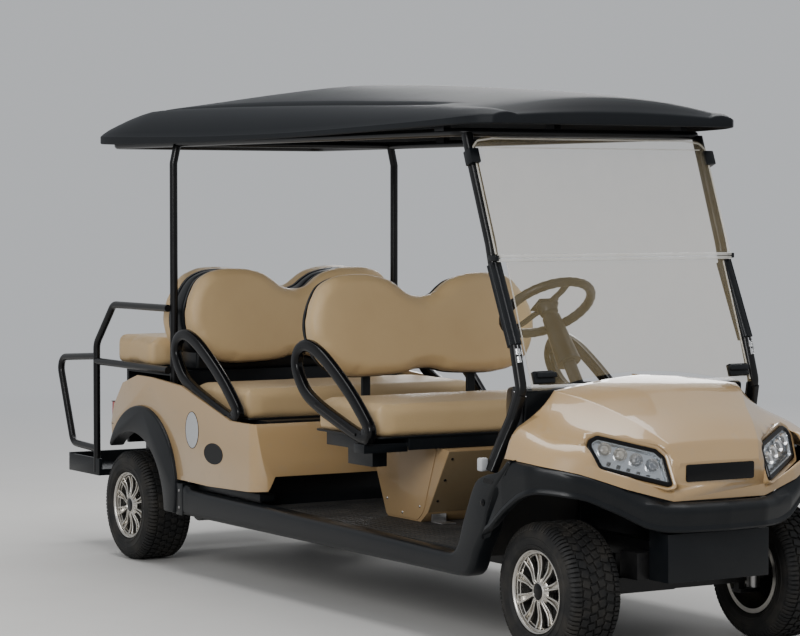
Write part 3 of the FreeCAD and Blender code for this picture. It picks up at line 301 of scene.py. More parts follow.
@dataclass(frozen=True)
class Vinyl(Finish):
    """Upholstery vinyl: pebbled grain, soft creases and darker handled places."""

    worn: Colour

    def dress(self, shader: Shader) -> None:
        """Worn patches, and pebbles on creases.

        Args:
            shader: The material's shader.
        """
        pebble = shader.node("ShaderNodeTexVoronoi", {"feature": "DISTANCE_TO_EDGE"}, "Distance",
                             Vector=shader.place, Scale=420.0)
        wear = shader.patches(5.0, 4.0, 0.42, 2.0) * 0.45
        shader.set(Base_Color=shader.mix(wear, self.colour, self.worn), Roughness=0.42 + wear * 0.25,
                   Sheen_Weight=0.08, Coat_Weight=0.08, Coat_Roughness=0.3)
        shader.bump((pebble * 0.25).under(0.05) * 10.0 + shader.noise(16.0, 3.0) * 2.5, 0.0008, 0.5)


@dataclass(frozen=True)
class Metal(Finish):
    """Machined or plated metal with fine scratches."""

    roughness: float = 0.25
    scratch: float = 0.12
    tarnish: float = 0.72

    def dress(self, shader: Shader) -> None:
        """Faint tarnish and scratches.

        Args:
            shader: The material's shader.
        """
        marks = shader.noise(240.0, 4.0)
        dull = tuple(part * self.tarnish for part in self.colour)
        shader.set(Base_Color=shader.mix((shader.noise(18.0, 3.0) - 0.35).clamp() * 0.5, self.colour, dull),
                   Roughness=(marks * self.scratch + self.roughness).clamp(), Metallic=1.0)
        shader.bump(marks, 0.00008, 0.4)


@dataclass(frozen=True)
class Tread(Finish):
    """Tyre rubber with road dust in patches."""

    dusty: Colour = (0.10, 0.085, 0.065)

    def dress(self, shader: Shader) -> None:
        """Dust in patches on gritty rubber.

        Args:
            shader: The material's shader.
        """
        grit = shader.noise(380.0, 2.0)
        shader.set(Base_Color=shader.mix(shader.patches(14.0, 5.0, 0.44, 2.4) * 0.3, self.colour, self.dusty),
                   Roughness=0.52 + grit * 0.25, Specular_IOR_Level=0.3)
        shader.bump(grit, 0.0003, 0.5)


@dataclass(frozen=True)
class Clear(Finish):
    """Clear acrylic with a film of dust; on clear_strip the film is a painted highlight."""

    film: float = 0.06
    roughness: float = 0.05
    haze: float = 0.035
    dusty: Colour = (0.62, 0.55, 0.42)

    def dress(self, shader: Shader) -> None:
        """A thin film, thicker where dust lies.

        Args:
            shader: The material's shader.
        """
        dust = shader.patches(9.0, 5.0, 0.35, 1.6)
        shader.set(Base_Color=shader.mix(dust, self.colour, self.dusty), Alpha=dust * self.haze + self.film,
                   Roughness=dust * 0.15 + self.roughness, IOR=1.49, Coat_Weight=0.35, Coat_Roughness=0.03)


RUBBER_BLACK = (0.005, 0.005, 0.0055)
FINISHES = (
    GlossPaint("body_paint", (0.405, 0.268, 0.128), (0.365, 0.235, 0.106)),
    GlossPaint("pedestal_paint", (0.345, 0.228, 0.112), (0.30, 0.20, 0.095), 0.42, 0.25),
    # The blue-grey tint in the base colours of black_plastic and roof_plastic is partly a painted sheen for the sky's
    # blue reflection; roof_plastic's base is also raised so that its sides look lit with little specular.
    Moulding("black_plastic", (0.0055, 0.0066, 0.0080), 0.32, 700.0, 0.0002, 0.10, (0.06, 0.06, 0.056), specular=0.24),
    Moulding("roof_plastic", (0.012, 0.0135, 0.0155), 0.50, 260.0, 0.00005, 0.08, (0.05, 0.05, 0.05), specular=0.09),
    Moulding("steel_black", (0.0040, 0.0040, 0.0045), 0.28, 500.0, 0.0001, 0.05, specular=0.28),
    Metal("steel_bare", (0.42, 0.41, 0.40), 0.32),
    Metal("alloy", (0.60, 0.575, 0.53), 0.24, 0.1),
    Tread("tyre_rubber", (0.0085, 0.0085, 0.0085)),
    Moulding("rubber_grip", RUBBER_BLACK, 0.36, 420.0, 0.00012, 0.05, specular=0.25),
    Vinyl("seat_vinyl", (0.52, 0.365, 0.185), (0.43, 0.285, 0.135)),
    Moulding("floor_mat", (0.016, 0.0155, 0.015), 0.6, 500.0, 0.0004, 0.4, (0.13, 0.115, 0.09)),
    Moulding("battery_case", RUBBER_BLACK, 0.45, dust=0.1, specular=0.3),
    Clear("clear_pane", (0.90, 0.70, 0.36)),
    # clear_strip: pale and nearly half opaque; on the pane edges and the fold it is a painted highlight, and the hinge
    # strips use it too.
    Clear("clear_strip", (0.85, 0.84, 0.80), 0.45, 0.12),
    Clear("lamp_lens", (0.60, 0.64, 0.68), 0.06, 0.02, 0.0),
    Moulding("tail_lens", (0.32, 0.012, 0.01), 0.12, 300.0, 0.0001, 0.1, coat=1.0),
    Moulding("black_gloss", (0.003, 0.003, 0.0034), 0.2, 300.0, 0.00004, 0.02, specular=0.2),
    Moulding("pale_grey", (0.42, 0.43, 0.44), 0.35, 300.0, 0.00005, 0.2),
    # pedestal_painted_shade: the pedestal paint darkened, as painted shade for the pedestal's shaded front face.
    Moulding("pedestal_painted_shade", (0.165, 0.118, 0.062), 0.5, 500.0, 0.0001, 0.15),
    Metal("chrome", (0.80, 0.80, 0.80), 0.12, 0.06),
    Metal("reflector", (0.50, 0.53, 0.56), 0.22, 0.05),
    Clear("lamp_glass", (0.05, 0.06, 0.075), 0.80, 0.02, 0.0),
)


# Outlines


def rounded(points: Sequence[Spot], radius: float, closed: bool = False, steps: int = 5) -> list[Vector]:
    """Round the corners of a rigid tube's path or of an outline.

    Args:
        points: Its corners.
        radius: The bend at each corner.
        closed: Whether the last corner joins the first.
        steps: Parts to a bend.

    Returns:
        The path with its corners rounded.
    """
    spots, path = [Vector(point) for point in points], []
    for index, corner in enumerate(spots):
        if not closed and index in (0, len(spots) - 1):
            path.append(corner)
            continue
        before, after = spots[index - 1] - corner, spots[(index + 1) % len(spots)] - corner
        reach = radius / max(math.tan(before.angle(after) / 2), 0.05)
        reach = min(reach, before.length * 0.49, after.length * 0.49)
        start, end = corner + before.normalized() * reach, corner + after.normalized() * reach
        for step in range(steps + 1):
            share = step / steps
            path.append(start * (1 - share) ** 2 + corner * 2 * share * (1 - share) + end * share ** 2)
    return path


def curve(points: Sequence[Spot], steps: int = 6) -> list[Vector]:
    """Lead a closed smooth curve through points, with a number of parts from one to the next.

    Args:
        points: The points in order.
        steps: Parts from one point to the next.

    Returns:
        The curve's points.
    """
    spots, path = [Vector(point) for point in points], []
    for index, start in enumerate(spots):
        before, end, after = spots[index - 1], spots[(index + 1) % len(spots)], spots[(index + 2) % len(spots)]
        span = (end - start).length
        leave = (end - before) * (span / (span + (start - before).length))
        reach = (after - start) * (span / ((after - end).length + span))
        for t in (step / steps for step in range(steps)):
            path.append(start * (2 * t ** 3 - 3 * t ** 2 + 1) + leave * (t ** 3 - 2 * t ** 2 + t)
                        + end * (3 * t ** 2 - 2 * t ** 3) + reach * (t ** 3 - t ** 2))
    return path


def through(rows: Sequence[Spot], at: float) -> list[float]:
    """Read a table of sections at any place, with smooth changes between its rows.

    Args:
        rows: Rows that start with the place along the table.
        at: The place to read.

    Returns:
        The row's other values there.
    """
    at = min(max(at, rows[0][0]), rows[-1][0])
    index = max(i for i, row in enumerate(rows[:-1]) if row[0] <= at)
    low, high = rows[index], rows[index + 1]
    span = high[0] - low[0]
    share = (at - low[0]) / span
    square, cube = share * share, share ** 3
    values = []
    for column in range(1, len(low)):
        rises = {place: (rows[place + 1][column] - rows[place][column]) / (rows[place + 1][0] - rows[place][0])
                 for place in range(max(index - 1, 0), min(index + 2, len(rows) - 1))}
        slopes = []
        for place in (index, index + 1):
            left, right = rises.get(place - 1, rises.get(place)), rises.get(place, rises.get(place - 1))
            inner = place - 1 in rises and place in rises
            slopes.append(left if not inner else 0.0 if left * right <= 0 else 2 * left * right / (left + right))
        values.append(low[column] * (2 * cube - 3 * square + 1) + high[column] * (3 * square - 2 * cube)
                      + slopes[0] * span * (cube - 2 * square + share) + slopes[1] * span * (cube - square))
    return values


def oval(wide: float, high: float, steps: int = 16) -> list[tuple[float, float]]:
    """An oval section by its two radii."""
    return [(wide * math.cos(math.tau * step / steps), high * math.sin(math.tau * step / steps))
            for step in range(steps)]


def pillow(wide: float, high: float, corner: float) -> list[tuple[float, float]]:
    """A rounded rectangle as a section: half sizes and corner radius.

    Args:
        wide: Half the width.
        high: Half the height.
        corner: The corners' radius.

    Returns:
        The section's points.
    """
    points = []
    for quarter, (x, y) in enumerate(((1, 1), (-1, 1), (-1, -1), (1, -1))):
        for angle in (math.pi / 2 * (quarter + step / 4) for step in range(5)):
            points.append(((wide - corner) * x + corner * math.cos(angle),
                           (high - corner) * y + corner * math.sin(angle)))
    return points


def rectangle(low: Spot, high: Spot) -> list[Vector]:
    """The corners of a flat rectangle, in order, from two opposite ones that share a coordinate.

    Args:
        low: One corner.
        high: The opposite corner.

    Returns:
        The four corners.
    """
    one, two = (axis for axis in range(3) if low[axis] != high[axis])
    corners = [Vector(low) for _ in range(4)]
    corners[1][one] = corners[2][one] = high[one]
    corners[2][two] = corners[3][two] = high[two]
    return corners


def leaning(place: Spot, degrees: float) -> Matrix:
    """A place whose upright leans back by an angle."""
    return Matrix.Translation(place) @ Matrix.Rotation(math.radians(-degrees), 4, "Y")


# Meshes


class Form:
    """A mesh that grows by operators, in metres, with x = 0 at the rear axle. Its methods can be chained."""

    def __init__(self) -> None:
        """Start empty."""
        self.shell = bmesh.new()

    def verts_of(self, made: dict) -> list[bmesh.types.BMVert]:
        """The vertices that an operator made."""
        return [item for item in made["geom"] if isinstance(item, bmesh.types.BMVert)]

    def everything(self) -> list:
        """All vertices, edges and faces."""
        return self.shell.verts[:] + self.shell.edges[:] + self.shell.faces[:]

    def skin(self, rings: Sequence[Sequence[Vector]], loop: bool = False) -> "Form":
        """Extrude a closed ring of points through further rings.

        Args:
            rings: The rings in order, all with the same number of points.
            loop: Whether the last ring joins the first; the ends are filled where it doesn't.

        Returns:
            The form.
        """
        row = [self.shell.verts.new(point) for point in rings[0]]
        first = edges = [self.shell.edges.new(pair) for pair in zip(row, row[1:] + row[:1])]
        for ring in rings[1:]:
            made = bmesh.ops.extrude_edge_only(self.shell, edges=edges)
            place = {vert: index for index, vert in enumerate(row)}
            row = list(row)
            for vert in self.verts_of(made):
                for other in (edge.other_vert(vert) for edge in vert.link_edges):
                    if other in place:
                        row[place[other]] = vert
            inside = set(row)
            edges = [item for item in made["geom"]
                     if isinstance(item, bmesh.types.BMEdge) and inside.issuperset(item.verts)]
            for vert, point in zip(row, ring):
                vert.co = point
        if loop:
            bmesh.ops.bridge_loops(self.shell, edges=first + edges)
        else:
            for end in (first, edges):
                bmesh.ops.contextual_create(self.shell, geom=end)
        return self

    def tube(self, path: Sequence[Spot], section: Pairs, hint: Spot = ACROSS, loop: bool = False) -> "Form":
        """Sweep a section along a path.

        Args:
            path: Its points.
            section: Points of the section: along the hint and square to it.
            hint: A direction that the section's first axis stays near.
            loop: Whether the path closes on itself.

        Returns:
            The form.
        """
        path, hint, rings = [Vector(point) for point in path], Vector(hint), []
        for index, point in enumerate(path):
            before = path[index - 1] if loop or index else point
            after = path[(index + 1) % len(path)] if loop or index + 1 < len(path) else point
            along = (after - before).normalized()
            side = (hint - along * along.dot(hint)).normalized()
            rise = along.cross(side)
            rings.append([point + side * a + rise * b for a, b in section])
        return self.skin(rings, loop)

    def prism(self, outline: Sequence[Spot], run: Spot) -> "Form":
        """Fill an outline and push it along a direction.

        Args:
            outline: The corners in order.
            run: The direction and length of the push.

        Returns:
            The form.
        """
        face = bmesh.ops.contextual_create(self.shell, geom=[self.shell.verts.new(point) for point in outline])["faces"]
        made = bmesh.ops.extrude_face_region(self.shell, geom=face, use_keep_orig=True)
        bmesh.ops.translate(self.shell, verts=self.verts_of(made), vec=run)
        return self

    def block(self, low: Spot, high: Spot, matrix: Matrix = Matrix()) -> "Form":
        """Add a box between two corners, then turned by the matrix.

        Args:
            low: One corner.
            high: The opposite corner.
            matrix: The turn and shift that follow.

        Returns:
            The form.
        """
        low, high = Vector(low), Vector(high)
        size = Matrix.Diagonal((*(high - low), 1.0))
        bmesh.ops.create_cube(self.shell, size=1.0, matrix=matrix @ Matrix.Translation((low + high) / 2) @ size)
        return self

    def spun(self, profile: Pairs, place: Spot = ORIGIN, axis: Spot = ACROSS, steps: int = 48) -> "Form":
        """Spin a profile about an axis.

        Args:
            profile: Points as radius and distance along the axis.
            place: A point on the axis.
            axis: Its direction.
            steps: Parts to the turn.

        Returns:
            The form.
        """
        axis, place = Vector(axis).normalized(), Vector(place)
        side = axis.orthogonal().normalized()
        verts = [self.shell.verts.new(place + side * radius + axis * along) for radius, along in profile]
        edges = [self.shell.edges.new(pair) for pair in zip(verts, verts[1:])]
        bmesh.ops.spin(self.shell, geom=verts + edges, cent=place, axis=axis, angle=math.tau, steps=steps,
                       use_merge=True, use_normal_flip=False, use_duplicate=False)
        return self

    def soften(self, width: float, segments: int = 2, angle: float = 0.5,
               where: Optional[Callable[[Vector], bool]] = None) -> "Form":
        """Bevel the sharp edges.

        Args:
            width: How far the bevel reaches.
            segments: Its facets.
            angle: The least turn of an edge that is bevelled.
            where: A test on the edge's middle.

        Returns:
            The form.
        """
        self.clean()
        edges = [edge for edge in self.shell.edges if len(edge.link_faces) == 2 and edge.calc_face_angle(0) > angle
                 and (where is None or where((edge.verts[0].co + edge.verts[1].co) / 2))]
        bmesh.ops.bevel(self.shell, geom=edges, offset=width, affect="EDGES", segments=segments, profile=0.5,
                        material=-1, clamp_overlap=True)
        return self

    def clean(self) -> "Form":
        """Merge doubles and turn the faces outwards.

        Returns:
            The form.
        """
        bmesh.ops.remove_doubles(self.shell, verts=self.shell.verts, dist=1e-5)
        bmesh.ops.recalc_face_normals(self.shell, faces=self.shell.faces)
        return self

    def moved(self, by: Spot) -> "Form":
        """Shift everything."""
        bmesh.ops.translate(self.shell, verts=self.shell.verts, vec=by)
        return self

    def mirrored(self) -> "Form":
        """Put everything on the other side of the centre line.

        Returns:
            The form.
        """
        bmesh.ops.scale(self.shell, verts=self.shell.verts, vec=(1, -1, 1))
        bmesh.ops.reverse_faces(self.shell, faces=self.shell.faces)
        return self

    def both_sides(self) -> "Form":
        """Add the other side's likeness across the centre line.

        Returns:
            The form.
        """
        made = bmesh.ops.duplicate(self.shell, geom=self.everything())
        faces = [item for item in made["geom"] if isinstance(item, bmesh.types.BMFace)]
        bmesh.ops.scale(self.shell, verts=self.verts_of(made), vec=(1, -1, 1))
        bmesh.ops.reverse_faces(self.shell, faces=faces)
        return self

    def repeat(self, count: int) -> "Form":
        """Copy everything round the wheel's axle until it stands there count times.

        Args:
            count: How many stand round the axle in the end.

        Returns:
            The form.
        """
        source = self.everything()
        for step in range(1, count):
            made = bmesh.ops.duplicate(self.shell, geom=source)
            bmesh.ops.rotate(self.shell, verts=self.verts_of(made), cent=ORIGIN,
                             matrix=Matrix.Rotation(math.tau * step / count, 3, Vector(ACROSS)))
        return self

    def take(self, other: "Form") -> "Form":
        """Add another form's mesh to this one.

        Args:
            other: The form that is used up.

        Returns:
            The form.
        """
        mesh = bpy.data.meshes.new("part")
        other.shell.to_mesh(mesh)
        other.shell.free()
        self.shell.from_mesh(mesh)
        bpy.data.meshes.remove(mesh)
        return self

    def mesh(self, name: str, smooth: float) -> bpy.types.Mesh:
        """Write the mesh in its place in the frame, shaded smooth up to an angle between its faces.

        Args:
            name: The mesh's name.
            smooth: The greatest angle that is shaded smooth, in radians.

        Returns:
            The mesh.
        """
        self.clean()
        for face in self.shell.faces:
            face.smooth = True
        for edge in self.shell.edges:
            if len(edge.link_faces) == 2:
                edge.smooth = edge.calc_face_angle(0) < smooth
        data = bpy.data.meshes.new(name)
        self.shell.to_mesh(data)
        self.shell.free()
        data.transform(Matrix.Translation((AXLE_X, 0, 0)))
        return data


def freeze(item: bpy.types.Object) -> None:
    """Apply a piece's modifiers to its mesh.

    Args:
        item: The piece.
    """
    bpy.context.view_layer.update()
    shape = bpy.data.meshes.new_from_object(item.evaluated_get(bpy.context.evaluated_depsgraph_get()))
    item.modifiers.clear()
    item.data = shape
    item.data.name = item.name


class Workshop:
    """Turns forms into pieces of the cart that ride on its bodies."""

    def __init__(self) -> None:
        """Build every finish once and dress the frame's nodes with the finishes of their slots."""
        self.materials = {finish.name: finish.build() for finish in FINISHES}
        for name, item in frame["nodes"].items():
            item.data.materials.clear()
            item.data.materials.append(self.materials[SLOTS[name]])

    def add(self, form: Form, name: str, slot: str, body: str = "chassis", replaces: Sequence[str] = (),
            smooth: float = 0.6, finish: str = "") -> bpy.types.Object:
        """Finish a form as one piece.

        Args:
            form: Its mesh.
            name: The piece's name.
            slot: The record's material slot.
            body: The body that it rides on.
            replaces: Nodes of the frame that it stands for.
            smooth: The greatest angle that is shaded smooth, in radians.
            finish: The finish, where it isn't the slot's own.

        Returns:
            The piece.
        """
        data = form.mesh(name, smooth)
        item = bpy.data.objects.new(name, data)
        bpy.context.scene.collection.objects.link(item)
        data.materials.append(self.materials[finish or slot])
        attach(item, body)
        if replaces:
            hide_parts(*replaces)
        LOG.info("%s: %d faces on %s", item.name, len(data.polygons), body)
        return item

    def cut(self, item: bpy.types.Object, cutter: Form) -> None:
        """Cut a form's space out of a piece.

        Args:
            item: The piece.
            cutter: The form to cut away.
        """
        tool = bpy.data.objects.new("cutter", cutter.mesh("cutter", 0.5))
        bpy.context.scene.collection.objects.link(tool)
        step = item.modifiers.new("cut", "BOOLEAN")
        step.operation, step.object, step.solver = "DIFFERENCE", tool, "EXACT"
        freeze(item)
        bpy.data.objects.remove(tool)


# Running gear


@dataclass
class Wheel:
    """A tyre with a block tread on a rim of paired spokes, and the dark dish behind them."""

    end: str
    side: Side
    x: float
    y: float
    radius: float = 0.226
    base: float = 0.2185
    half: float = 0.1025
    bead: float = 0.128
    pitches: int = 44
    spokes: int = 10
    stud_circle: float = 0.0385
    rows: tuple = ((0.014, 0.024, 0.000, 18), (0.045, 0.026, 0.016, -16), (-0.014, 0.024, 0.016, 18),
                   (-0.045, 0.026, 0.000, -16))
    shoulder: tuple = ((0.064, 0.2150), (0.065, 0.2255), (0.078, 0.2235), (0.0885, 0.2170), (0.0965, 0.2050),
                       (0.0970, 0.1990), (0.0900, 0.2000))
    barrel: tuple = ((0.1370, 0.0925), (0.1370, 0.0870), (0.1270, 0.0860), (0.1270, -0.0860), (0.1370, -0.0880),
                     (0.1370, -0.0935), (0.1215, -0.0935), (0.1205, 0.0560), (0.1200, 0.0700), (0.1225, 0.0715),
                     (0.1240, 0.0800), (0.1275, 0.0815), (0.1290, 0.0890), (0.1320, 0.0930), (0.1350, 0.0938),
                     (0.1370, 0.0925))
    spoke: tuple = ((0.0042, 0.0745, 0.030), (0.0046, 0.0765, 0.040), (0.0056, 0.0735, 0.056), (0.0072, 0.0700, 0.075),
                    (0.0094, 0.0700, 0.094), (0.0118, 0.0735, 0.110), (0.0132, 0.0770, 0.1215))
    web: tuple = ((-0.004, 0.064, 0.034), (0.004, 0.064, 0.034), (0.0125, 0.063, 0.119), (-0.0125, 0.063, 0.119))
    hub: tuple = ((0, 0.030), (0.033, 0.030), (0.0345, 0.060), (0.0440, 0.0660), (0.0460, 0.0725), (0.0420, 0.0775),
                  (0.0340, 0.0795), (0.0305, 0.0835), (0.0275, 0.0850), (0.0262, 0.0830), (0, 0.0825))
    dish: tuple = ((0.030, 0.0400), (0.0800, 0.0430), (0.1212, 0.0300), (0.1212, 0.0340), (0.0800, 0.0480),
                   (0.030, 0.0460), (0.030, 0.0400))
    cap: tuple = ((0, 0.0815), (0.0255, 0.0815), (0.0262, 0.0838), (0.0225, 0.0853), (0, 0.0862))
    stud: tuple = ((0, 0.0730), (0.0030, 0.0730), (0.0030, 0.0785), (0.0016, 0.0800), (0, 0.0800))

    def build(self, shop: Workshop) -> None:
        """Make the tyre, the rim, its dish, its cap and its studs, outer face towards +y, and set them on the axle.

        Args:
            shop: The workshop that finishes the pieces.
        """
        tag = f"{self.end}_{self.side.tag}"
        studs = Form().spun(self.stud, (0, 0, self.stud_circle), steps=8).repeat(self.spokes)
        for form, name, slot, replaces, smooth, finish in (
                (self.tyre(), "tread", "tyre_rubber", [f"tyre_{tag}"], 0.7, ""),
                (self.rim(), "spokes", "alloy", [f"rim_{tag}"], 0.7, ""),
                (Form().spun(self.dish, steps=40), "dish", "steel_black", (), 0.7, ""),
                (Form().spun(self.cap, steps=36), "cap", "alloy", (), 0.6, "black_gloss"),
                (studs, "nuts", "alloy", (), 0.5, "chrome")):
            if self.side is Side.RIGHT:
                bmesh.ops.rotate(form.shell, verts=form.shell.verts, cent=ORIGIN,
                                 matrix=Matrix.Rotation(math.pi, 3, "Z"))
            form.moved((self.x, self.y, self.radius))
            shop.add(form, f"{name}_{tag}", slot, f"wheel_{tag}", replaces, smooth, finish)

    def tyre(self) -> Form:
        """Carcass with ringed sidewalls and separate tread blocks.

        Returns:
            The form.
        """
        half = self.half
        wall = [(self.bead, 0.086), (0.1385, 0.0875), (0.1415, 0.0955), (0.1475, half - 0.003), (0.1500, half - 0.0005),
                (0.1530, half), (0.1545, half - 0.0022), (0.1720, half - 0.0008), (0.1735, half), (0.1765, half),
                (0.1780, half - 0.0016), (0.1900, half - 0.003), (0.2020, 0.0950), (0.2105, 0.0880),
                (0.2160, 0.0770), (self.base, 0.0600), (self.base + 0.0008, 0.0200)]
        form = Form().spun(wall + [(r, -a) for r, a in reversed(wall)] + [wall[0]], steps=64)
        blocks = Form()
        for centre, width, shift, lean in self.rows:
            turn = (Matrix.Rotation(shift / self.radius, 4, "Y") @ Matrix.Translation((0, centre, 0))
                    @ Matrix.Rotation(math.radians(lean), 4, "Z"))
            blocks.block((-0.0115, -width / 2, self.base - 0.003), (0.0115, width / 2, self.radius - 0.0008), turn)
        for sign in (1, -1):
            for start, reach in ((-0.013, 0.012), (0.003, 0.010)):
                start += 0.008 if sign > 0 else 0
                blocks.prism([(start, sign * a, r) for a, r in self.shoulder], (reach, 0, 0))
        return form.take(blocks.soften(0.0009, 1).repeat(self.pitches))

    def rim(self) -> Form:
        """Barrel with a stepped lip, ten pairs of bowed spokes and a domed hub.

        Returns:
            The form.
        """
        pair = Form()
        for sign in (1, -1):
            pair.tube([(sign * x, y, z) for x, y, z in self.spoke], pillow(0.0034, 0.0075, 0.0024), AHEAD)
        pair.prism(self.web, (0, 0.005, 0)).repeat(self.spokes)
        return Form().spun(self.barrel, steps=72).take(pair).spun(self.hub)


# Bodywork


@dataclass
class Copies:
    """Edge-broken copies of plainly shaped nodes: node, finish, bevel width."""

    rows: tuple = (
        ("rear_body", "body_paint", 0.011), ("seat_deck", "black_plastic", 0.004), ("dash", "black_plastic", 0.014),
        ("front_pedestal", "pedestal_paint", 0.005), ("front_seat_frame", "black_plastic", 0.006),
        ("footplate", "black_plastic", 0.003), ("bumper_carrier", "black_plastic", 0.006),
        ("rear_flares", "black_plastic", 0.019), ("battery_block", "battery_case", 0.006),
        ("chassis_frame", "steel_black", 0.003))
    flat: float = 0.004
    segments: int = 3
    sharp: float = 0.45

    def build(self, shop: Workshop) -> None:
        """Copy each node, merge its facets and bevel its sharp edges.

        Args:
            shop: The workshop that finishes the pieces.
        """
        for node, finish, width in self.rows:
            form = Form()
            form.shell.from_mesh(frame["nodes"][node].data)
            form.clean()
            bmesh.ops.dissolve_limit(form.shell, angle_limit=self.flat, use_dissolve_boundaries=False,
                                     verts=form.shell.verts, edges=form.shell.edges, delimit=set())
            form.soften(width, self.segments, self.sharp).moved((-AXLE_X, 0, 0))
            shop.add(form, f"{node}_finished", SLOTS[node], replaces=[node], smooth=0.5, finish=finish)


@dataclass
class Roof:
    """Moulded roof: upright lip, bulging sides, a ridge, a terrace and a raised middle.

    The rows of sections give, by the share of the length from the rear: how far the lip is drawn in and raised, the
    lip's height, how far in the ridge lies, and how far the ridge and the crown lie below the highest point.
    """

    rear: float = -0.387
    front: float = 2.645
    half: float = 0.578
    lip: float = 1.717
    crown: float = 1.940
    wall: float = 0.006
    terrace: float = 0.052
    bulge: float = 0.10
    step: float = 0.015
    sections: tuple = (
        (0.0000, 0.073, 0.014, 0.025, 0.138, 0.183, 0.180), (0.0188, 0.030, 0.012, 0.034, 0.100, 0.163, 0.148),
        (0.0366, 0.012, 0.010, 0.035, 0.088, 0.140, 0.118), (0.0947, 0.001, 0.005, 0.036, 0.078, 0.106, 0.070),
        (0.1705, 0.000, 0.002, 0.034, 0.076, 0.083, 0.042), (0.3552, 0.000, 0.000, 0.028, 0.076, 0.088, 0.008),
        (0.4600, 0.000, 0.002, 0.025, 0.076, 0.094, 0.000), (0.5795, 0.000, 0.005, 0.023, 0.076, 0.101, 0.010),
        (0.7774, 0.000, 0.015, 0.025, 0.076, 0.117, 0.043), (0.8862, 0.000, 0.022, 0.026, 0.078, 0.125, 0.066),
        (0.9522, 0.006, 0.027, 0.028, 0.088, 0.134, 0.085), (0.9819, 0.033, 0.030, 0.030, 0.123, 0.143, 0.098),
        (1.0000, 0.078, 0.030, 0.030, 0.178, 0.161, 0.150))
    shares: tuple = (0, 0.003, 0.009, 0.0188, 0.028, 0.0366, 0.055, 0.075, *(0.0947 + 0.0285 * i for i in range(29)),
                     0.915, 0.935, 0.9522, 0.966, 0.975, 0.9819, 0.988, 0.993, 0.997, 1.0)

    def ring(self, share: float, inset: float = 0.0, drop: float = 0.0) -> list[Vector]:
        """One cross section from the right lip over the crown to the left lip.

        Args:
            share: The share of the length from the rear.
            inset: How far the section is drawn in.
            drop: How far its foot is lowered.

        Returns:
            The ring's points.
        """
        side, rise, height, ridge, ridge_drop, crown_drop = through(self.sections, share)
        x = self.rear + share * (self.front - self.rear)
        x += inset * (1 if share < 0.01 else -1 if share > 0.99 else 0)
        half, low, top = self.half - side - inset, self.lip + rise, self.crown - inset
        inner = self.half - ridge - inset * 0.6
        edge, shoulder = low + height - inset, top - ridge_drop
        bottom = low - drop
        points = [(half - 0.004, bottom), (half, bottom + 0.004), (half, edge - 0.004), (half - 0.003, edge)]
        run = Vector((half - 0.003 - inner, shoulder - edge))
        for part in (step / 8 for step in range(1, 9)):
            lift = 4 * part * (1 - part) * self.bulge
            points.append((half - 0.003 - run.x * part + lift * run.y, edge + run.y * part + lift * run.x))
        fade = min(max((share - 0.05) / 0.08, 0), 1) * min(max((0.90 - share) / 0.09, 0), 1)
        first = inner - self.terrace - 0.020
        steps = [(inner - inward, deep) for inward, deep in (
            (0.010, 0.002), (0.018, 0.4), (0.030, 0.75), (0.046, 1.0), (self.terrace, 1.0),
            (self.terrace + 0.006, 0.45), (self.terrace + 0.013, 0.05), (self.terrace + 0.020, 0.0))]
        for y, deep in steps + [(first * (1 - step / 9), 0.0) for step in range(1, 10)]:
            dome = shoulder + (top - crown_drop - shoulder) * (1 - (y / inner) ** 2)
            points.append((y, dome - self.step * deep * fade))
        return [Vector((x, -y, z)) for y, z in points] + [Vector((x, y, z)) for y, z in reversed(points[:-1])]

    def build(self, shop: Workshop) -> None:
        """Make the skin, hollow it and lay black strips on its ridges, painted shade where the drain slots are sunk.

        Args:
            shop: The workshop that finishes the pieces.
        """
        outer = Form().skin([self.ring(share) for share in self.shares])
        outer.soften(0.006, 3, 0.6, lambda spot: not self.rear + 0.004 <= spot.x <= self.front - 0.004)
        roof = shop.add(outer, "roof_moulding", "roof_plastic", replaces=["roof"], smooth=0.55)
        shop.cut(roof, Form().skin([self.ring(share, self.wall, 0.06) for share in (*self.shares[::2], 1.0)]))
        # The drain slots are black strips laid on the ridges: painted shade in place of sunken slots.
        slots = Form()
        for sign in (1, -1):
            run = []
            for i in range(5):
                x = -0.335 + 0.05 * i
                ridge_drop = through(self.sections, (x - self.rear) / (self.front - self.rear))[4]
                run.append((x, sign * (0.462 + 0.0025 * i), self.crown - ridge_drop + 0.002))
            slots.tube(run, oval(0.0055, 0.0035, 10))
        shop.add(slots, "roof_drain_slot_shade", "roof_plastic", finish="black_plastic")


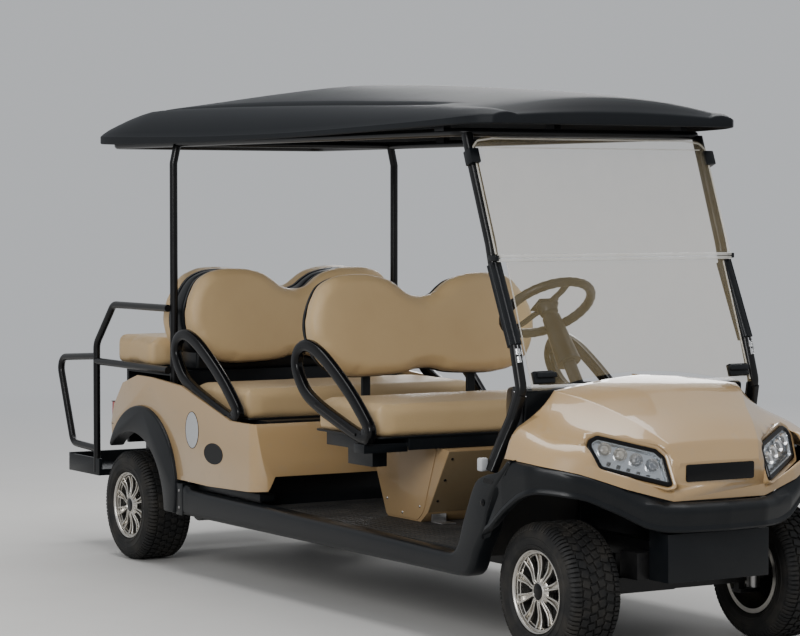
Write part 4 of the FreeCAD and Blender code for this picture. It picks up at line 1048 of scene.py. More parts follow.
@dataclass
class Lamp:
    """Where a lamp of the nose lies: its corners in order, on one plane."""

    corners: tuple = ((3.075, 0.418, 0.704), (3.070, 0.408, 0.725), (3.076, 0.381, 0.737), (3.173, 0.219, 0.693),
                      (3.194, 0.200, 0.669), (3.236, 0.199, 0.582), (3.230, 0.214, 0.580), (3.119, 0.400, 0.633))
    corner: float = 0.018

    def __post_init__(self) -> None:
        """Find the plane through three corners and the lamp's own axes."""
        spots = [Vector(corner) for corner in self.corners]
        normal = (spots[4] - spots[0]).cross(spots[7] - spots[0]).normalized()
        self.normal = normal if normal.x > 0 else -normal
        self.spots = [spot - self.normal * (spot - spots[0]).dot(self.normal) for spot in spots]
        self.middle = sum(self.spots, Vector()) / len(self.spots)
        self.long = (self.spots[3] - self.spots[2]).normalized()
        up = self.normal.cross(self.long)
        self.up = -up if up.z < 0 else up

    def at(self, long: float, up: float, depth: float) -> Vector:
        """A point by its place on the lamp's own axes."""
        return self.middle + self.long * long + self.up * up + self.normal * depth

    def outline(self, grow: float, depth: float) -> list[Vector]:
        """The outline offset sideways by grow and along the normal by depth, with rounded corners.

        Args:
            grow: How far it grows sideways.
            depth: Its place along the normal.

        Returns:
            The outline's points.
        """
        flat = [Vector(((spot - self.middle).dot(self.long), (spot - self.middle).dot(self.up))) for spot in self.spots]
        area = sum(a.x * b.y - a.y * b.x for a, b in zip(flat, flat[1:] + flat[:1]))
        turn = 1 if area > 0 else -1
        spots = []
        for index, spot in enumerate(flat):
            before, after = spot - flat[index - 1], flat[(index + 1) % len(flat)] - spot
            one, two = (Vector((run.y, -run.x)).normalized() * turn for run in (before, after))
            moved = spot + (one + two) * (grow / max(1 + one.dot(two), 0.3))
            spots.append(self.at(moved.x, moved.y, depth))
        return rounded(spots, self.corner + grow * 0.5, True, 4)

    def ring(self, *rows: tuple[float, float]) -> Form:
        """A moulding that follows the outline: rows of grow and depth, closed on itself."""
        return Form().skin([self.outline(grow, depth) for grow, depth in rows], True)

    def slab(self, grow: float, low: float, high: float) -> Form:
        """A filled slab on the outline between two depths."""
        return Form().prism(self.outline(grow, low), self.normal * (high - low))


@dataclass
class Cowl:
    """Hood and fenders in one moulding, with the lamps and the plate on it.

    The rows of sections give, by x: y and z of the lower edge, of the side's turn and of the crease, and the crown.
    """

    lamp: Lamp = field(default_factory=Lamp)
    sections: tuple = (
        (2.780, 0.590, 0.655, 0.564, 0.742, 0.400, 0.874, 0.905),
        (2.900, 0.590, 0.652, 0.556, 0.727, 0.342, 0.850, 0.880),
        (3.020, 0.576, 0.644, 0.532, 0.707, 0.268, 0.803, 0.823),
        (3.120, 0.490, 0.622, 0.452, 0.690, 0.220, 0.755, 0.769),
        (3.192, 0.345, 0.570, 0.316, 0.655, 0.182, 0.708, 0.714),
        (3.226, 0.186, 0.526, 0.180, 0.600, 0.162, 0.648, 0.651))
    rear_plan: tuple = ((0.0, 2.787), (0.300, 2.822), (0.450, 2.830), (0.540, 2.845), (0.640, 2.856))
    rear: float = 2.780
    fold: float = 3.192
    nose: float = 3.2262
    wall: float = 0.008
    bend: float = 0.11
    sag: float = 0.085
    plate: tuple = ((3.2255, -0.138, 0.642), (3.2255, 0.138, 0.642), (3.2255, 0.138, 0.586), (3.2255, -0.138, 0.586))
    cup: tuple = ((0.0060, -0.0180), (0.0150, -0.0150), (0.0205, -0.0080), (0.0222, -0.0055), (0.0230, -0.0070),
                  (0.0225, -0.0180), (0.0060, -0.0180))
    eye: tuple = ((0, -0.0180), (0.0125, -0.0175), (0.0140, -0.0130), (0.0120, -0.0085), (0.0065, -0.0058),
                  (0, -0.0050))

    def ring(self, x: float, inset: float = 0.0, drop: float = 0.0, back: float = 0.0) -> list[Vector]:
        """One cross section from the right lower edge over the hood to the left, shifted back.

        Args:
            x: The section's place.
            inset: How far it is drawn in.
            drop: How far its foot is lowered.
            back: How far it is shifted back.

        Returns:
            The ring's points.
        """
        at = max(x, self.rear)
        by, bz, sy, sz, cy, cz, crown = through(self.sections[:5] if at <= self.fold else self.sections[4:], at)
        by, sy, cy, cz, crown = by - inset, sy - inset, cy - inset * 0.4, cz - inset, crown - inset
        corner = rounded([(0, by, bz - drop), (0, sy, sz - inset * 0.4), (0, cy, cz)], self.bend, steps=8)
        side = [corner[0].lerp(corner[1], part) for part in (0, 0.33, 0.66)] + corner[1:-1]
        last = corner[-2]
        reach = (corner[-1] - last).length
        for part in (step / 7 for step in range(1, 7)):
            sag = -self.sag * reach * math.sin(math.pi * part) * (0.55 + 0.45 * part)
            side.append(last.lerp(corner[-1], part) + Vector((0, sag * 0.5, sag)))
        half = [(point.y, point.z) for point in side]
        edge = Vector((cy, cz))
        down = (Vector(half[-1]) - edge).normalized()
        half += [tuple(edge + down * far) for far in (0.009, 0.004, 0.0015)]
        for y in (cy - 0.0015, cy - 0.004, cy - 0.009, *((cy - 0.009) * (1 - step / 11) for step in range(1, 12))):
            half.append((y, crown - (crown - cz) * (y / cy) ** 2))
        x -= back
        return [Vector((x, -y, z)) for y, z in half] + [Vector((x, y, z)) for y, z in reversed(half[:-1])]

    def build(self, shop: Workshop) -> None:
        """Make the moulding, cut its rear edge and its pockets, and fit the lamps and the plate.

        Args:
            shop: The workshop that finishes the pieces.
        """
        places = [2.74, *(self.rear + 0.02647 * i for i in range(15)), 3.166, 3.176, 3.185, self.fold - 0.0012,
                  self.fold + 0.0012, 3.199, 3.208, 3.218, self.nose]
        outer = Form().skin([self.ring(x) for x in places]).soften(0.010, 4, 0.5, lambda spot: spot.x > 3.2255)
        outer.soften(0.004, 2, 0.9, lambda spot: spot.z < 0.66 and 2.8 < spot.x)
        cowl = shop.add(outer, "cowl_moulding", "body_paint", replaces=["front_cowl"])
        hollow = [2.60, *places[1:-2], self.nose]
        shop.cut(cowl, Form().skin([self.ring(x, self.wall, 0.06, self.wall) for x in hollow]))
        for side in Side:
            edge = [(through(self.rear_plan, 0.64 * step / 20)[0], 0.64 * step / 20, 0.40) for step in range(21)]
            behind = Form().prism([(2.60, 0, 0.40)] + edge + [(2.60, 0.64, 0.40)], (0, 0, 0.7))
            pocket = self.lamp.slab(0.0135, -0.035, 0.10).take(behind)
            shop.cut(cowl, pocket.mirrored() if side is Side.RIGHT else pocket)
        self.lamps(shop)
        plate = Form().prism(rounded(self.plate, 0.008, True, 4), (0.0045, 0, 0)).soften(0.0012)
        shop.add(plate, "nose_plate", "black_plastic", finish="black_gloss")

    def lamps(self, shop: Workshop) -> None:
        """Recess, bezel, tray, lamps, squares and lens of both sides.

        Args:
            shop: The workshop that finishes the pieces.
        """
        lamp = self.lamp
        eyes, cups, squares = Form(), Form(), Form()
        for index in range(4):
            spot = lamp.at(-0.083 + 0.0535 * index, 0.0135 - 0.0055 * index, 0)
            cups.spun(self.cup, spot, lamp.normal, 28)
            eyes.spun(self.eye, spot, lamp.normal, 24)
        axes = Matrix((lamp.long, lamp.up, lamp.normal)).transposed().to_4x4()
        for index in range(6):
            axes.translation = lamp.at(-0.060 + 0.0330 * index, -0.0300 - 0.0030 * index, -0.0130)
            squares.block((-0.0062, -0.0050, -0.006), (0.0062, 0.0050, 0.0030), axes)
        for form, name, slot, finish in (
                (lamp.ring((0.0142, -0.0040), (0.0128, -0.0042), (0.0070, -0.0060), (0.0025, -0.0100),
                           (0.0010, -0.0240), (0.0142, -0.0240)), "recess", "body_paint", ""),
                (lamp.ring((0.0020, -0.0220), (0.0020, -0.0050), (0.0005, -0.0018), (-0.0030, -0.0005),
                           (-0.0095, -0.0010), (-0.0125, -0.0030), (-0.0135, -0.0200)),
                 "bezel", "black_plastic", "black_gloss"),
                (lamp.slab(-0.0090, -0.0215, -0.0180), "tray", "alloy", "reflector"),
                (lamp.ring((-0.0110, -0.0060), (-0.0150, -0.0065), (-0.0190, -0.0150), (-0.0110, -0.0190)),
                 "shelf", "alloy", "reflector"),
                (cups, "cups", "alloy", "chrome"), (eyes, "eyes", "lamp_lens", "lamp_glass"),
                (squares.soften(0.0010, 1), "squares", "black_plastic", "black_gloss"),
                (lamp.slab(-0.0086, -0.0052, -0.0032).soften(0.0010), "cover", "lamp_lens", "")):
            shop.add(form.both_sides(), f"lamp_{name}", slot, replaces=["headlights"] if name == "tray" else (),
                     finish=finish)


@dataclass
class FrontBand:
    """Black band under the cowl that arches over the front wheels and crosses the nose."""

    plan: tuple = ((2.700, 0.610), (2.860, 0.610), (3.010, 0.600), (3.120, 0.520), (3.225, 0.300), (3.272, 0.160),
                   (3.285, 0.0))
    top: tuple = ((2.700, 0.6555), (2.780, 0.6535), (2.900, 0.6505), (3.020, 0.6425), (3.120, 0.6205),
                  (3.177, 0.5795), (3.226, 0.5245), (3.400, 0.514))
    under: tuple = ((2.700, 0.380), (2.784, 0.415), (2.840, 0.458), (2.900, 0.500), (2.958, 0.532), (3.040, 0.551),
                    (3.130, 0.540), (3.180, 0.498), (3.255, 0.428), (3.400, 0.424))
    riser: tuple = ((0.380, 2.742), (0.410, 2.756), (0.516, 2.793), (0.641, 2.912), (0.720, 2.950))
    wall: float = 0.034
    parts: float = 0.028
    bend: float = 0.12
    nose_half: float = 0.262

    def build(self, shop: Workshop) -> None:
        """Sweep the band's section round the plan from one riser to the other.

        Args:
            shop: The workshop that finishes the pieces.
        """
        side = rounded([(x, y, 0) for x, y in self.plan] + [(x, -y, 0) for x, y in reversed(self.plan[:-1])],
                       self.bend, steps=7)
        spots = []
        for start, end in zip(side, side[1:]):
            parts = max(1, int((end - start).length / self.parts))
            spots += [start.lerp(end, step / parts) for step in range(parts)]
        spots.append(side[-1])
        rings = []
        for index, spot in enumerate(spots):
            ahead = (spots[min(index + 1, len(spots) - 1)] - spots[max(index - 1, 0)]).normalized()
            inward = Vector((ahead.y, -ahead.x, 0))
            if abs(spot.y) > 0.5:
                inward.y = math.copysign(inward.y, -spot.y)
            elif inward.dot(Vector((3.0 - spot.x, -spot.y, 0))) < 0:
                inward = -inward
            rings.append(self.section(spot, inward, abs(spot.y) < self.nose_half))
        shop.add(Form().skin(rings), "front_band", "black_plastic", replaces=["front_flares"], smooth=0.7)

    def section(self, spot: Vector, inward: Vector, middle: bool) -> list[Vector]:
        """One section: inner foot, rolled lip, bulging face, bevelled top and inner wall.

        Args:
            spot: The section's place on the plan.
            inward: The way to the band's inner side.
            middle: Whether it crosses the nose.

        Returns:
            The ring's points.
        """
        drop, ledge = (0.020, 0.026) if middle else (0.007, 0.008)
        rows = ((self.wall, 0, 0.006), (0.012, 0, 0.0), (0.004, 0, 0.002), (0.0, 0, 0.008), (0.0015, 0, 0.016),
                (0.0055, 0, 0.022), (0.0040, 0.35, 0), (0.0010, 0.62, 0), (0.0, 1, -drop - 0.006), (0.0015, 1, -drop),
                (ledge * 0.35, 1, -drop * 0.5), (ledge, 1, -0.0015), (ledge + 0.005, 1, 0), (self.wall, 1, 0))
        low = through(self.under, spot.x)[0]
        ring = []
        for inset, share, shift in rows:
            point = spot + inward * inset
            high = through(self.top, point.x)[0] - 0.0008
            point.z = low + (high - low) * share + shift
            if abs(spot.y) > 0.55 and spot.x < 2.95:
                point.x = max(point.x, through(self.riser, point.z)[0])
            ring.append(point)
        return ring


# Seats and fittings


@dataclass
class Seats:
    """Three bench cushions and three backrests of vinyl over foam.

    A cushion's row gives its place, rear, front, low and high; a backrest's its place, x, low, lean in degrees and
    the side of its shell.
    """

    half: float = 0.530
    cushions: tuple = (("front", 1.480, 1.950, 0.645, 0.763), ("middle", 0.480, 0.950, 0.642, 0.760),
                       ("rear", -0.245, 0.112, 0.805, 0.923))
    backs: tuple = (("front", 1.450, 0.836, 10.0, -1), ("middle", 0.450, 0.836, 10.0, -1),
                    ("rear", 0.118, 0.836, -8.0, 1))
    lobe: tuple = ((0, 0.024), (-0.045, 0.021), (-0.085, 0.010), (-0.130, 0.004), (-0.220, 0.000), (-0.313, 0.0),
                   (-0.385, 0.014), (-0.448, 0.052), (-0.485, 0.112), (-0.500, 0.190), (-0.485, 0.262),
                   (-0.438, 0.345), (-0.380, 0.380), (-0.313, 0.391), (-0.230, 0.389), (-0.150, 0.372),
                   (-0.105, 0.347), (-0.070, 0.320), (-0.036, 0.308), (0, 0.305))
    thick: float = 0.086
    voxel: float = 0.010
    swell: float = 0.024
    frames: int = 14
    pressure: float = 4.0
    mass: float = 0.3
    plan: float = 0.048

    def build(self, shop: Workshop) -> None:
        """Make and fill every cushion and backrest, with its pan or shell.

        Args:
            shop: The workshop that finishes the pieces.
        """
        for place, rear, front, low, high in self.cushions:
            facing = -1 if place == "rear" else 1
            item = shop.add(self.cushion(rear, front, low, high, facing), f"seat_pad_{place}", "seat_vinyl",
                            replaces=[f"cushion_{place}"], smooth=3.2)
            room = ((rear + AXLE_X, front + AXLE_X), (-self.half, self.half), (low, high + 0.004))
            self.fill(item, lambda now, first: Vector([min(max(part, least), most) for part, (least, most)
                                                       in zip((first.x, first.y, now.z), room)]))
            edge, under = self.half + 0.002, low - 0.0004
            pan = rounded(rectangle((rear - 0.002, -edge, under), (front + 0.003, edge, under)), 0.045, True)
            shop.add(Form().prism(pan, (0, 0, 0.007)).soften(0.0015), f"seat_pan_{place}", "black_plastic")
        rims = ((0.004, -0.017), (0.0035, -0.004), (0.010, 0.001), (0.030, 0.0015), (0.030, -0.006), (0.008, -0.009),
                (0.007, -0.017))
        pads = ((0.020, -self.thick), (0.008, 0.006 - self.thick), (0.003, 0.016 - self.thick),
                (0.003, 0.034 - self.thick), (0.005, -0.010), (0.012, -0.006))
        for place, x, low, lean, back in self.backs:
            turn = leaning((x, 0, low), lean)
            item = shop.add(Form().skin([self.ring(inset, deep, back, turn) for inset, deep in pads]),
                            f"back_pad_{place}", "seat_vinyl", replaces=[f"backrest_{place}"], smooth=3.2)
            self.fill(item, lambda now, first: self.held(now, first, back, turn))
            plate = Form().prism(self.ring(0.020, -0.002, back, turn), turn.to_3x3() @ Vector((back * 0.003, 0, 0)))
            rim = Form().skin([self.ring(inset, deep, back, turn) for inset, deep in rims], True)
            shop.add(rim.take(plate), f"back_shell_{place}", "black_plastic", smooth=0.7)
        shop.add(self.shell_between(), "back_shell_finished", "black_plastic", replaces=["back_shell"], smooth=0.7)

    def outline(self, inset: float) -> list[tuple[float, float]]:
        """Backrest outline, a lobe for each sitter, drawn in by an inset.

        Args:
            inset: How far it is drawn in.

        Returns:
            Points as y and height above the backrest's foot.
        """
        ring = [(y, z, 0) for y, z in self.lobe] + [(-y, z, 0) for y, z in reversed(self.lobe[1:-1])]
        ring = [point.xy for point in curve(ring, 4)]
        moved = []
        for index, (y, z) in enumerate(ring):
            run = (ring[(index + 1) % len(ring)] - ring[index - 1]).normalized()
            moved.append((y + run.y * inset, z - run.x * inset))
        return moved

    def ring(self, inset: float, deep: float, back: int, turn: Matrix) -> list[Vector]:
        """The outline on a backrest, drawn in by inset and deep past the pad's thickness towards its shell."""
        return [turn @ Vector((back * (self.thick + deep), y, z)) for y, z in self.outline(inset)]

    def shell_between(self) -> Form:
        """Lobed shell that fills the wedge between the two backrests that stand back to back.

        Returns:
            The form.
        """
        one, two = ((back, leaning((x, 0, low), lean)) for _, x, low, lean, back in self.backs[:0:-1])
        rings = []
        for share, inset in ((0.0, 0.012), (0.06, 0.006), (0.2, 0.004), (0.5, 0.003), (0.8, 0.004), (0.94, 0.006),
                             (1.0, 0.012)):
            pairs = zip(self.ring(inset, -0.001, *one), self.ring(inset, -0.001, *two))
            rings.append([near.lerp(far, share) for near, far in pairs])
        base = Form().block((0.214, -0.440, 0.800), (0.356, 0.440, 0.880)).soften(0.012, 3)
        return Form().skin(rings).take(base)

    def cushion(self, rear: float, front: float, low: float, high: float, facing: int) -> Form:
        """A bench cushion with two dished places, a rolled front edge and drawn-in sides.

        Args:
            rear: The rear end.
            front: The front end.
            low: The underside.
            high: The top.
            facing: 1 where the sitters look forwards, -1 where they look back.

        Returns:
            The form.
        """
        form = Form()
        bmesh.ops.create_cube(form.shell, size=2.0)
        bmesh.ops.subdivide_edges(form.shell, edges=form.shell.edges, cuts=15, use_grid_fill=True)
        deep, half, tall = (front - rear) / 2 - 0.004, self.half - 0.005, (high - low) / 2 - 0.003
        middle = Vector(((rear + front) / 2, 0, (low + high) / 2 + 0.003))
        plan = self.plan
        for vert in form.shell.verts:
            u, v, w = vert.co
            bend = 1 - 0.012 * (1 - v * v) * (1 if u * facing < 0 else 0.4)
            spot = Vector((u * deep * bend, v * half * (1 - 0.010 * (1 - u * u)), w * tall))
            inner = Vector((max(min(spot.x, deep - plan), plan - deep), max(min(spot.y, half - plan), plan - half)))
            away = spot.xy - inner
            if away.length > plan:
                spot.xy = inner + away.normalized() * plan
            edge = max(abs(spot.x) / deep, abs(spot.y) / half)
            rim = min(deep - abs(spot.x), half - abs(spot.y))
            corner = 0.034 if w > 0 else 0.012
            if rim < corner:
                spot.z -= math.copysign(corner - math.sqrt(max(corner ** 2 - (corner - rim) ** 2, 0)), w) * abs(w)
            if w > 0.9:
                seat = abs(abs(spot.y) / half - 0.5) * 2
                dish = (1 - seat * seat) * (1 - (spot.x / deep) ** 2)
                spot.z += 0.004 - 0.013 * dish * (1 - edge ** 6) + 0.003 * facing * spot.x / deep
            spot.z = max(min(spot.z, tall + 0.003), -tall)
            vert.co = spot + middle
        return form

    def held(self, now: Vector, first: Vector, back: int, turn: Matrix) -> Vector:
        """Keep a backrest's point on its outline, within its depth, with a soft valley between the lobes.

        Args:
            now: Where the cloth took the point.
            first: Where it was.
            back: The side of the backrest's shell.
            turn: The backrest's place.

        Returns:
            The point's place.
        """
        place = Matrix.Translation((AXLE_X, 0, 0)) @ turn
        undo = place.inverted()
        still, depth = undo @ first, (undo @ now).x * back
        if depth < self.thick * 0.5:
            depth += 0.010 * math.exp(-(still.y / 0.075) ** 2)
        return place @ Vector((back * min(max(depth, -0.012), self.thick - 0.004), still.y, still.z))

    def fill(self, item: bpy.types.Object, hold: Callable[[Vector, Vector], Vector]) -> None:
        """Blow the pad up with a cloth simulation and hold it to the room it has.

        Args:
            item: The pad.
            hold: Gives a point's place from where the cloth took it and where it was.
        """
        grid = item.modifiers.new("grid", "REMESH")
        grid.mode, grid.voxel_size, grid.use_smooth_shade = "VOXEL", self.voxel, True
        freeze(item)
        start = [vert.co.copy() for vert in item.data.vertices]
        cloth = item.modifiers.new("cloth", "CLOTH")
        settings = cloth.settings
        settings.use_pressure, settings.uniform_pressure_force = True, self.pressure
        settings.quality, settings.mass, settings.effector_weights.gravity = 5, self.mass, 0.0
        cloth.point_cache.frame_start, cloth.point_cache.frame_end = 1, self.frames
        for number in range(1, self.frames + 1):
            bpy.context.scene.frame_set(number)
        freeze(item)
        bpy.context.scene.frame_set(1)
        for vert, first in zip(item.data.vertices, start):
            step = vert.co - first
            if step.length > self.swell:
                vert.co = first + step.normalized() * self.swell
            vert.co = hold(vert.co, first)
        shell = bmesh.new()
        shell.from_mesh(item.data)
        for _ in range(3):
            bmesh.ops.smooth_vert(shell, verts=shell.verts, factor=0.5, use_axis_x=True, use_axis_y=True,
                                  use_axis_z=True)
        for face in shell.faces:
            face.smooth = True
        shell.to_mesh(item.data)
        shell.free()
        finer = item.modifiers.new("finer", "SUBSURF")
        finer.levels = finer.render_levels = 1
        freeze(item)


@dataclass
class HipLoops:
    """Moulded hand loops beside the front and middle seats, with a flat rest on the lower member."""

    corners: tuple = ((-0.531, 0.245), (-0.512, 0.290), (-0.455, 0.313), (-0.385, 0.300), (-0.290, 0.255),
                      (-0.140, 0.160), (-0.030, 0.070), (0.004, 0.030), (-0.012, 0.008), (-0.060, 0.008),
                      (-0.220, 0.052), (-0.360, 0.096), (-0.455, 0.140), (-0.510, 0.195))
    boss: tuple = ((0, -0.0180), (0.026, -0.0180), (0.031, -0.0140), (0.031, 0.0140), (0.026, 0.0180), (0, 0.0180))
    y: float = 0.5657
    rows: tuple = (("front", 1.950, 0.645), ("middle", 0.952, 0.642))

    def build(self, shop: Workshop) -> None:
        """Make both pairs.

        Args:
            shop: The workshop that finishes the pieces.
        """
        for place, front, base in self.rows:
            path = curve([(front + x, self.y, base + z) for x, z in self.corners])
            start, end = Vector((front - 0.360, self.y, base + 0.1035)), Vector((front - 0.068, self.y, base + 0.0135))
            rest = [start.lerp(end, share) for share in (0.0, 0.06, 0.94, 1.0)]
            form = Form().tube(path, pillow(0.0185, 0.0235, 0.0140), loop=True)
            form.take(Form().tube(rest, pillow(0.0225, 0.0065, 0.005)))
            form.take(Form().spun(self.boss, (front - 0.012, self.y, base + 0.014), steps=32)).both_sides()
            shop.add(form, f"hand_loops_{place}", "black_plastic", replaces=[f"hip_loops_{place}"], smooth=0.7,
                     finish="black_gloss")


@dataclass
class Windshield:
    """Struts, sleeves, clips, pale strips painted as highlights on the pane edges, and the latches.

    A pane's row gives its half width, its length from the hinge and its tilt in degrees.
    """

    path: tuple = ((2.460, 0.486, 1.716), (2.498, 0.486, 1.616), (2.601, 0.482, 1.348), (2.620, 0.482, 1.282),
                   (2.749, 0.481, 1.007), (2.790, 0.483, 0.871), (2.757, 0.495, 0.773), (2.738, 0.525, 0.689),
                   (2.729, 0.562, 0.600))
    bend: float = 0.05
    hinge: tuple = (2.647, 1.299)
    upper: tuple = (0.490, 0.434, 21.5)
    lower: tuple = (0.454, 0.462, 20.6)

    def build(self, shop: Workshop) -> None:
        """Make every piece of the windshield's frame.

        Args:
            shop: The workshop that finishes the pieces.
        """
        self.struts(shop)
        self.edges(shop)
        self.holders(shop)
        self.latches(shop)

    def struts(self, shop: Workshop) -> None:
        """Tubes with flattened feet and ribbed sleeves.

        Args:
            shop: The workshop that finishes the pieces.
        """
        form = Form().tube(rounded(self.path, self.bend, steps=4), pillow(0.0175, 0.0175, 0.0125))
        form.tube(rounded(self.path[4:], self.bend, steps=4)[5:], pillow(0.0155, 0.0235, 0.009))
        shop.add(form.both_sides(), "strut_tubes", "steel_black", replaces=["front_struts"], smooth=0.7)
        top, end = Vector(self.path[3]), Vector(self.path[4])
        run = end - top
        along = run.normalized()
        ribs = []
        for step in range(40):
            angle = math.tau * step / 40
            reach = 0.0235 if step % 4 in (0, 1) else 0.0212
            reach /= max(abs(math.cos(angle)), abs(math.sin(angle))) ** 0.55
            ribs.append((reach * math.cos(angle) * 0.92, reach * math.sin(angle) * 0.98))
        sleeve = Form().tube([top + along * 0.004, top + run * 0.30, end - along * 0.006], ribs)
        shop.add(sleeve.both_sides(), "strut_sleeves", "black_plastic", smooth=0.3)

    def on_pane(self, y: float, rise: float, out: float, lower: bool = False) -> Vector:
        """A point by its place on a pane: across, up the slope from the hinge, and proud of the front.

        Args:
            y: The place across.
            rise: How far up the slope from the hinge.
            out: How far in front of the pane.
            lower: Whether it is the lower pane.

        Returns:
            The point.
        """
        tilt = math.radians(self.lower[2] if lower else self.upper[2])
        x = self.hinge[0] + 0.006 - math.sin(tilt) * rise + math.cos(tilt) * out
        return Vector((x, y, self.hinge[1] + math.cos(tilt) * rise + math.sin(tilt) * out))

    def edges(self, shop: Workshop) -> None:
        """Pale strips painted as highlights on the panes' edges and on the fold near the top, and the double strip at
        the hinge.

        Args:
            shop: The workshop that finishes the pieces.
        """
        half, length, _ = self.upper
        corner = ((0.001, 0.016), (0.001, length - 0.032), (0.022, length - 0.010), (0.085, length - 0.001))
        rim = [self.on_pane(inset - half, rise, -0.003) for inset, rise in corner]
        rim += [self.on_pane(half - inset, rise, -0.003) for inset, rise in reversed(corner)]
        fold = [self.on_pane(y, length - 0.036, 0.0008) for y in (-half + 0.03, half - 0.03)]
        # The edge and fold strips are painted highlights: pale, half opaque lines where light catches the pane's edges
        # and fold.
        form = Form().tube(rounded(rim, 0.02, steps=3), pillow(0.0012, 0.0032, 0.0008), AHEAD)
        form.tube(fold, pillow(0.0012, 0.0022, 0.0008), AHEAD)
        low_half, low_length, _ = self.lower
        for sign in (1, -1):
            side = [self.on_pane(sign * (low_half - 0.001), rise, -0.003, True)
                    for rise in (-0.018, 0.012 - low_length)]
            form.tube(side, pillow(0.0012, 0.0030, 0.0008))
        shop.add(form, "pane_edge_highlights", "clear_strip")
        x, z = self.hinge
        strips = Form()
        for rise in (0.0065, -0.0065):
            strips.tube([(x + 0.006, y, z + rise) for y in (0.004 - half, 0, half - 0.004)],
                        pillow(0.0075, 0.0055, 0.003), AHEAD)
        shop.add(strips, "hinge_strips", "clear_strip", replaces=["windshield_hinge"])

    def holders(self, shop: Workshop) -> None:
        """Blocks at the hinge's ends, clips on the upper pane and grips on the lower one.

        Args:
            shop: The workshop that finishes the pieces.
        """
        x, z = self.hinge
        ends, clips, grips = Form(), Form(), Form()
        for sign in (1, -1):
            y = sign * self.upper[0]
            ends.block((x - 0.036, y - 0.011, z - 0.008), (x + 0.012, y + 0.011, z + 0.010))
            clips.block((-0.030, -0.019, -0.026), (0.014, 0.019, 0.026),
                        leaning(self.on_pane(sign * 0.495, 0.368, -0.004), self.upper[2]))
            turn = leaning(self.on_pane(sign * 0.405, -0.418, 0.0, True), self.lower[2])
            grips.block((-0.008, -0.040, -0.021), (0.012, 0.040, 0.021), turn)
            grips.block((0.011, -0.039 - 0.005 * sign, -0.005), (0.024, 0.039 - 0.005 * sign, 0.013), turn)
        shop.add(ends.soften(0.003), "hinge_ends", "black_plastic")
        shop.add(clips.soften(0.004), "pane_clips", "black_plastic")
        shop.add(grips.soften(0.003), "pane_grips", "black_plastic")

    def latches(self, shop: Workshop) -> None:
        """Chrome over-centre latch under each sleeve.

        Args:
            shop: The workshop that finishes the pieces.
        """
        end, foot = Vector(self.path[4]), Vector(self.path[5])
        along = (foot - end).normalized()
        form = Form()
        for step, width in ((0.004, 0.009), (0.030, 0.0075)):
            spot = end + along * step + Vector((0.019, 0.004, 0))
            form.tube([spot, spot + along * 0.020], pillow(width, 0.005, 0.003))
        for shift in (-0.007, 0.007):
            start = end + along * -0.010 + Vector((0.0255, shift, 0))
            wire = rounded([start, start + along * 0.034 + Vector((0.003, 0, 0)), start + along * 0.060], 0.01, steps=3)
            form.tube(wire, oval(0.0016, 0.0016, 8))
        shop.add(form.both_sides(), "strut_latches", "steel_bare", finish="chrome")


@dataclass
class SteeringWheel:
    """Padded rim with finger bumps, three spokes and a plain clip on the hub."""

    centre: tuple = (1.835, 0.270, 1.092)
    tilt: float = 36.0
    radius: float = 0.172
    thick: float = 0.0178
    bump: float = 0.0008
    bumps: int = 32
    parts: int = 96
    spokes: tuple = (0, 150, 210)
    spoke: tuple = ((0.020, 0.004), (0.060, 0.003), (0.110, -0.003), (0.160, -0.002))
    hub: tuple = ((0.0096, -0.026), (0.034, -0.026), (0.037, -0.010), (0.046, 0.004), (0.044, 0.014), (0.030, 0.020),
                  (0, 0.021))

    def build(self, shop: Workshop) -> None:
        """Make the wheel.

        Args:
            shop: The workshop that finishes the pieces.
        """
        turn = leaning(self.centre, self.tilt)
        rings = []
        for angle in (math.tau * step / self.parts for step in range(self.parts)):
            thick = self.thick + self.bump * math.cos(angle * self.bumps)
            out = Vector((math.cos(angle), math.sin(angle), 0))
            rings.append([turn @ (out * (self.radius + thick * a) + Vector((0, 0, thick * b)))
                          for a, b in oval(1.0, 1.0, 14)])
        form = Form().skin(rings, True)
        for degrees in self.spokes:
            way = turn @ Matrix.Rotation(math.radians(degrees), 4, "Z")
            form.tube([way @ Vector((reach, 0, lift)) for reach, lift in self.spoke], pillow(0.0150, 0.0050, 0.004),
                      way.to_3x3() @ Vector(ACROSS))
        shop.add(form, "wheel_rim_grip", "rubber_grip", "steering_wheel", ["steering_wheel"], 0.7)
        clip = Form().block((-0.048, -0.044, 0.016), (0.030, 0.044, 0.023), turn)
        clip.block((-0.052, -0.016, 0.021), (-0.030, 0.016, 0.034), turn).soften(0.003)
        hub = Form().spun(self.hub, self.centre, turn.to_3x3() @ Vector(UP), 40).take(clip)
        shop.add(hub, "wheel_hub_clip", "black_plastic", "steering_wheel")


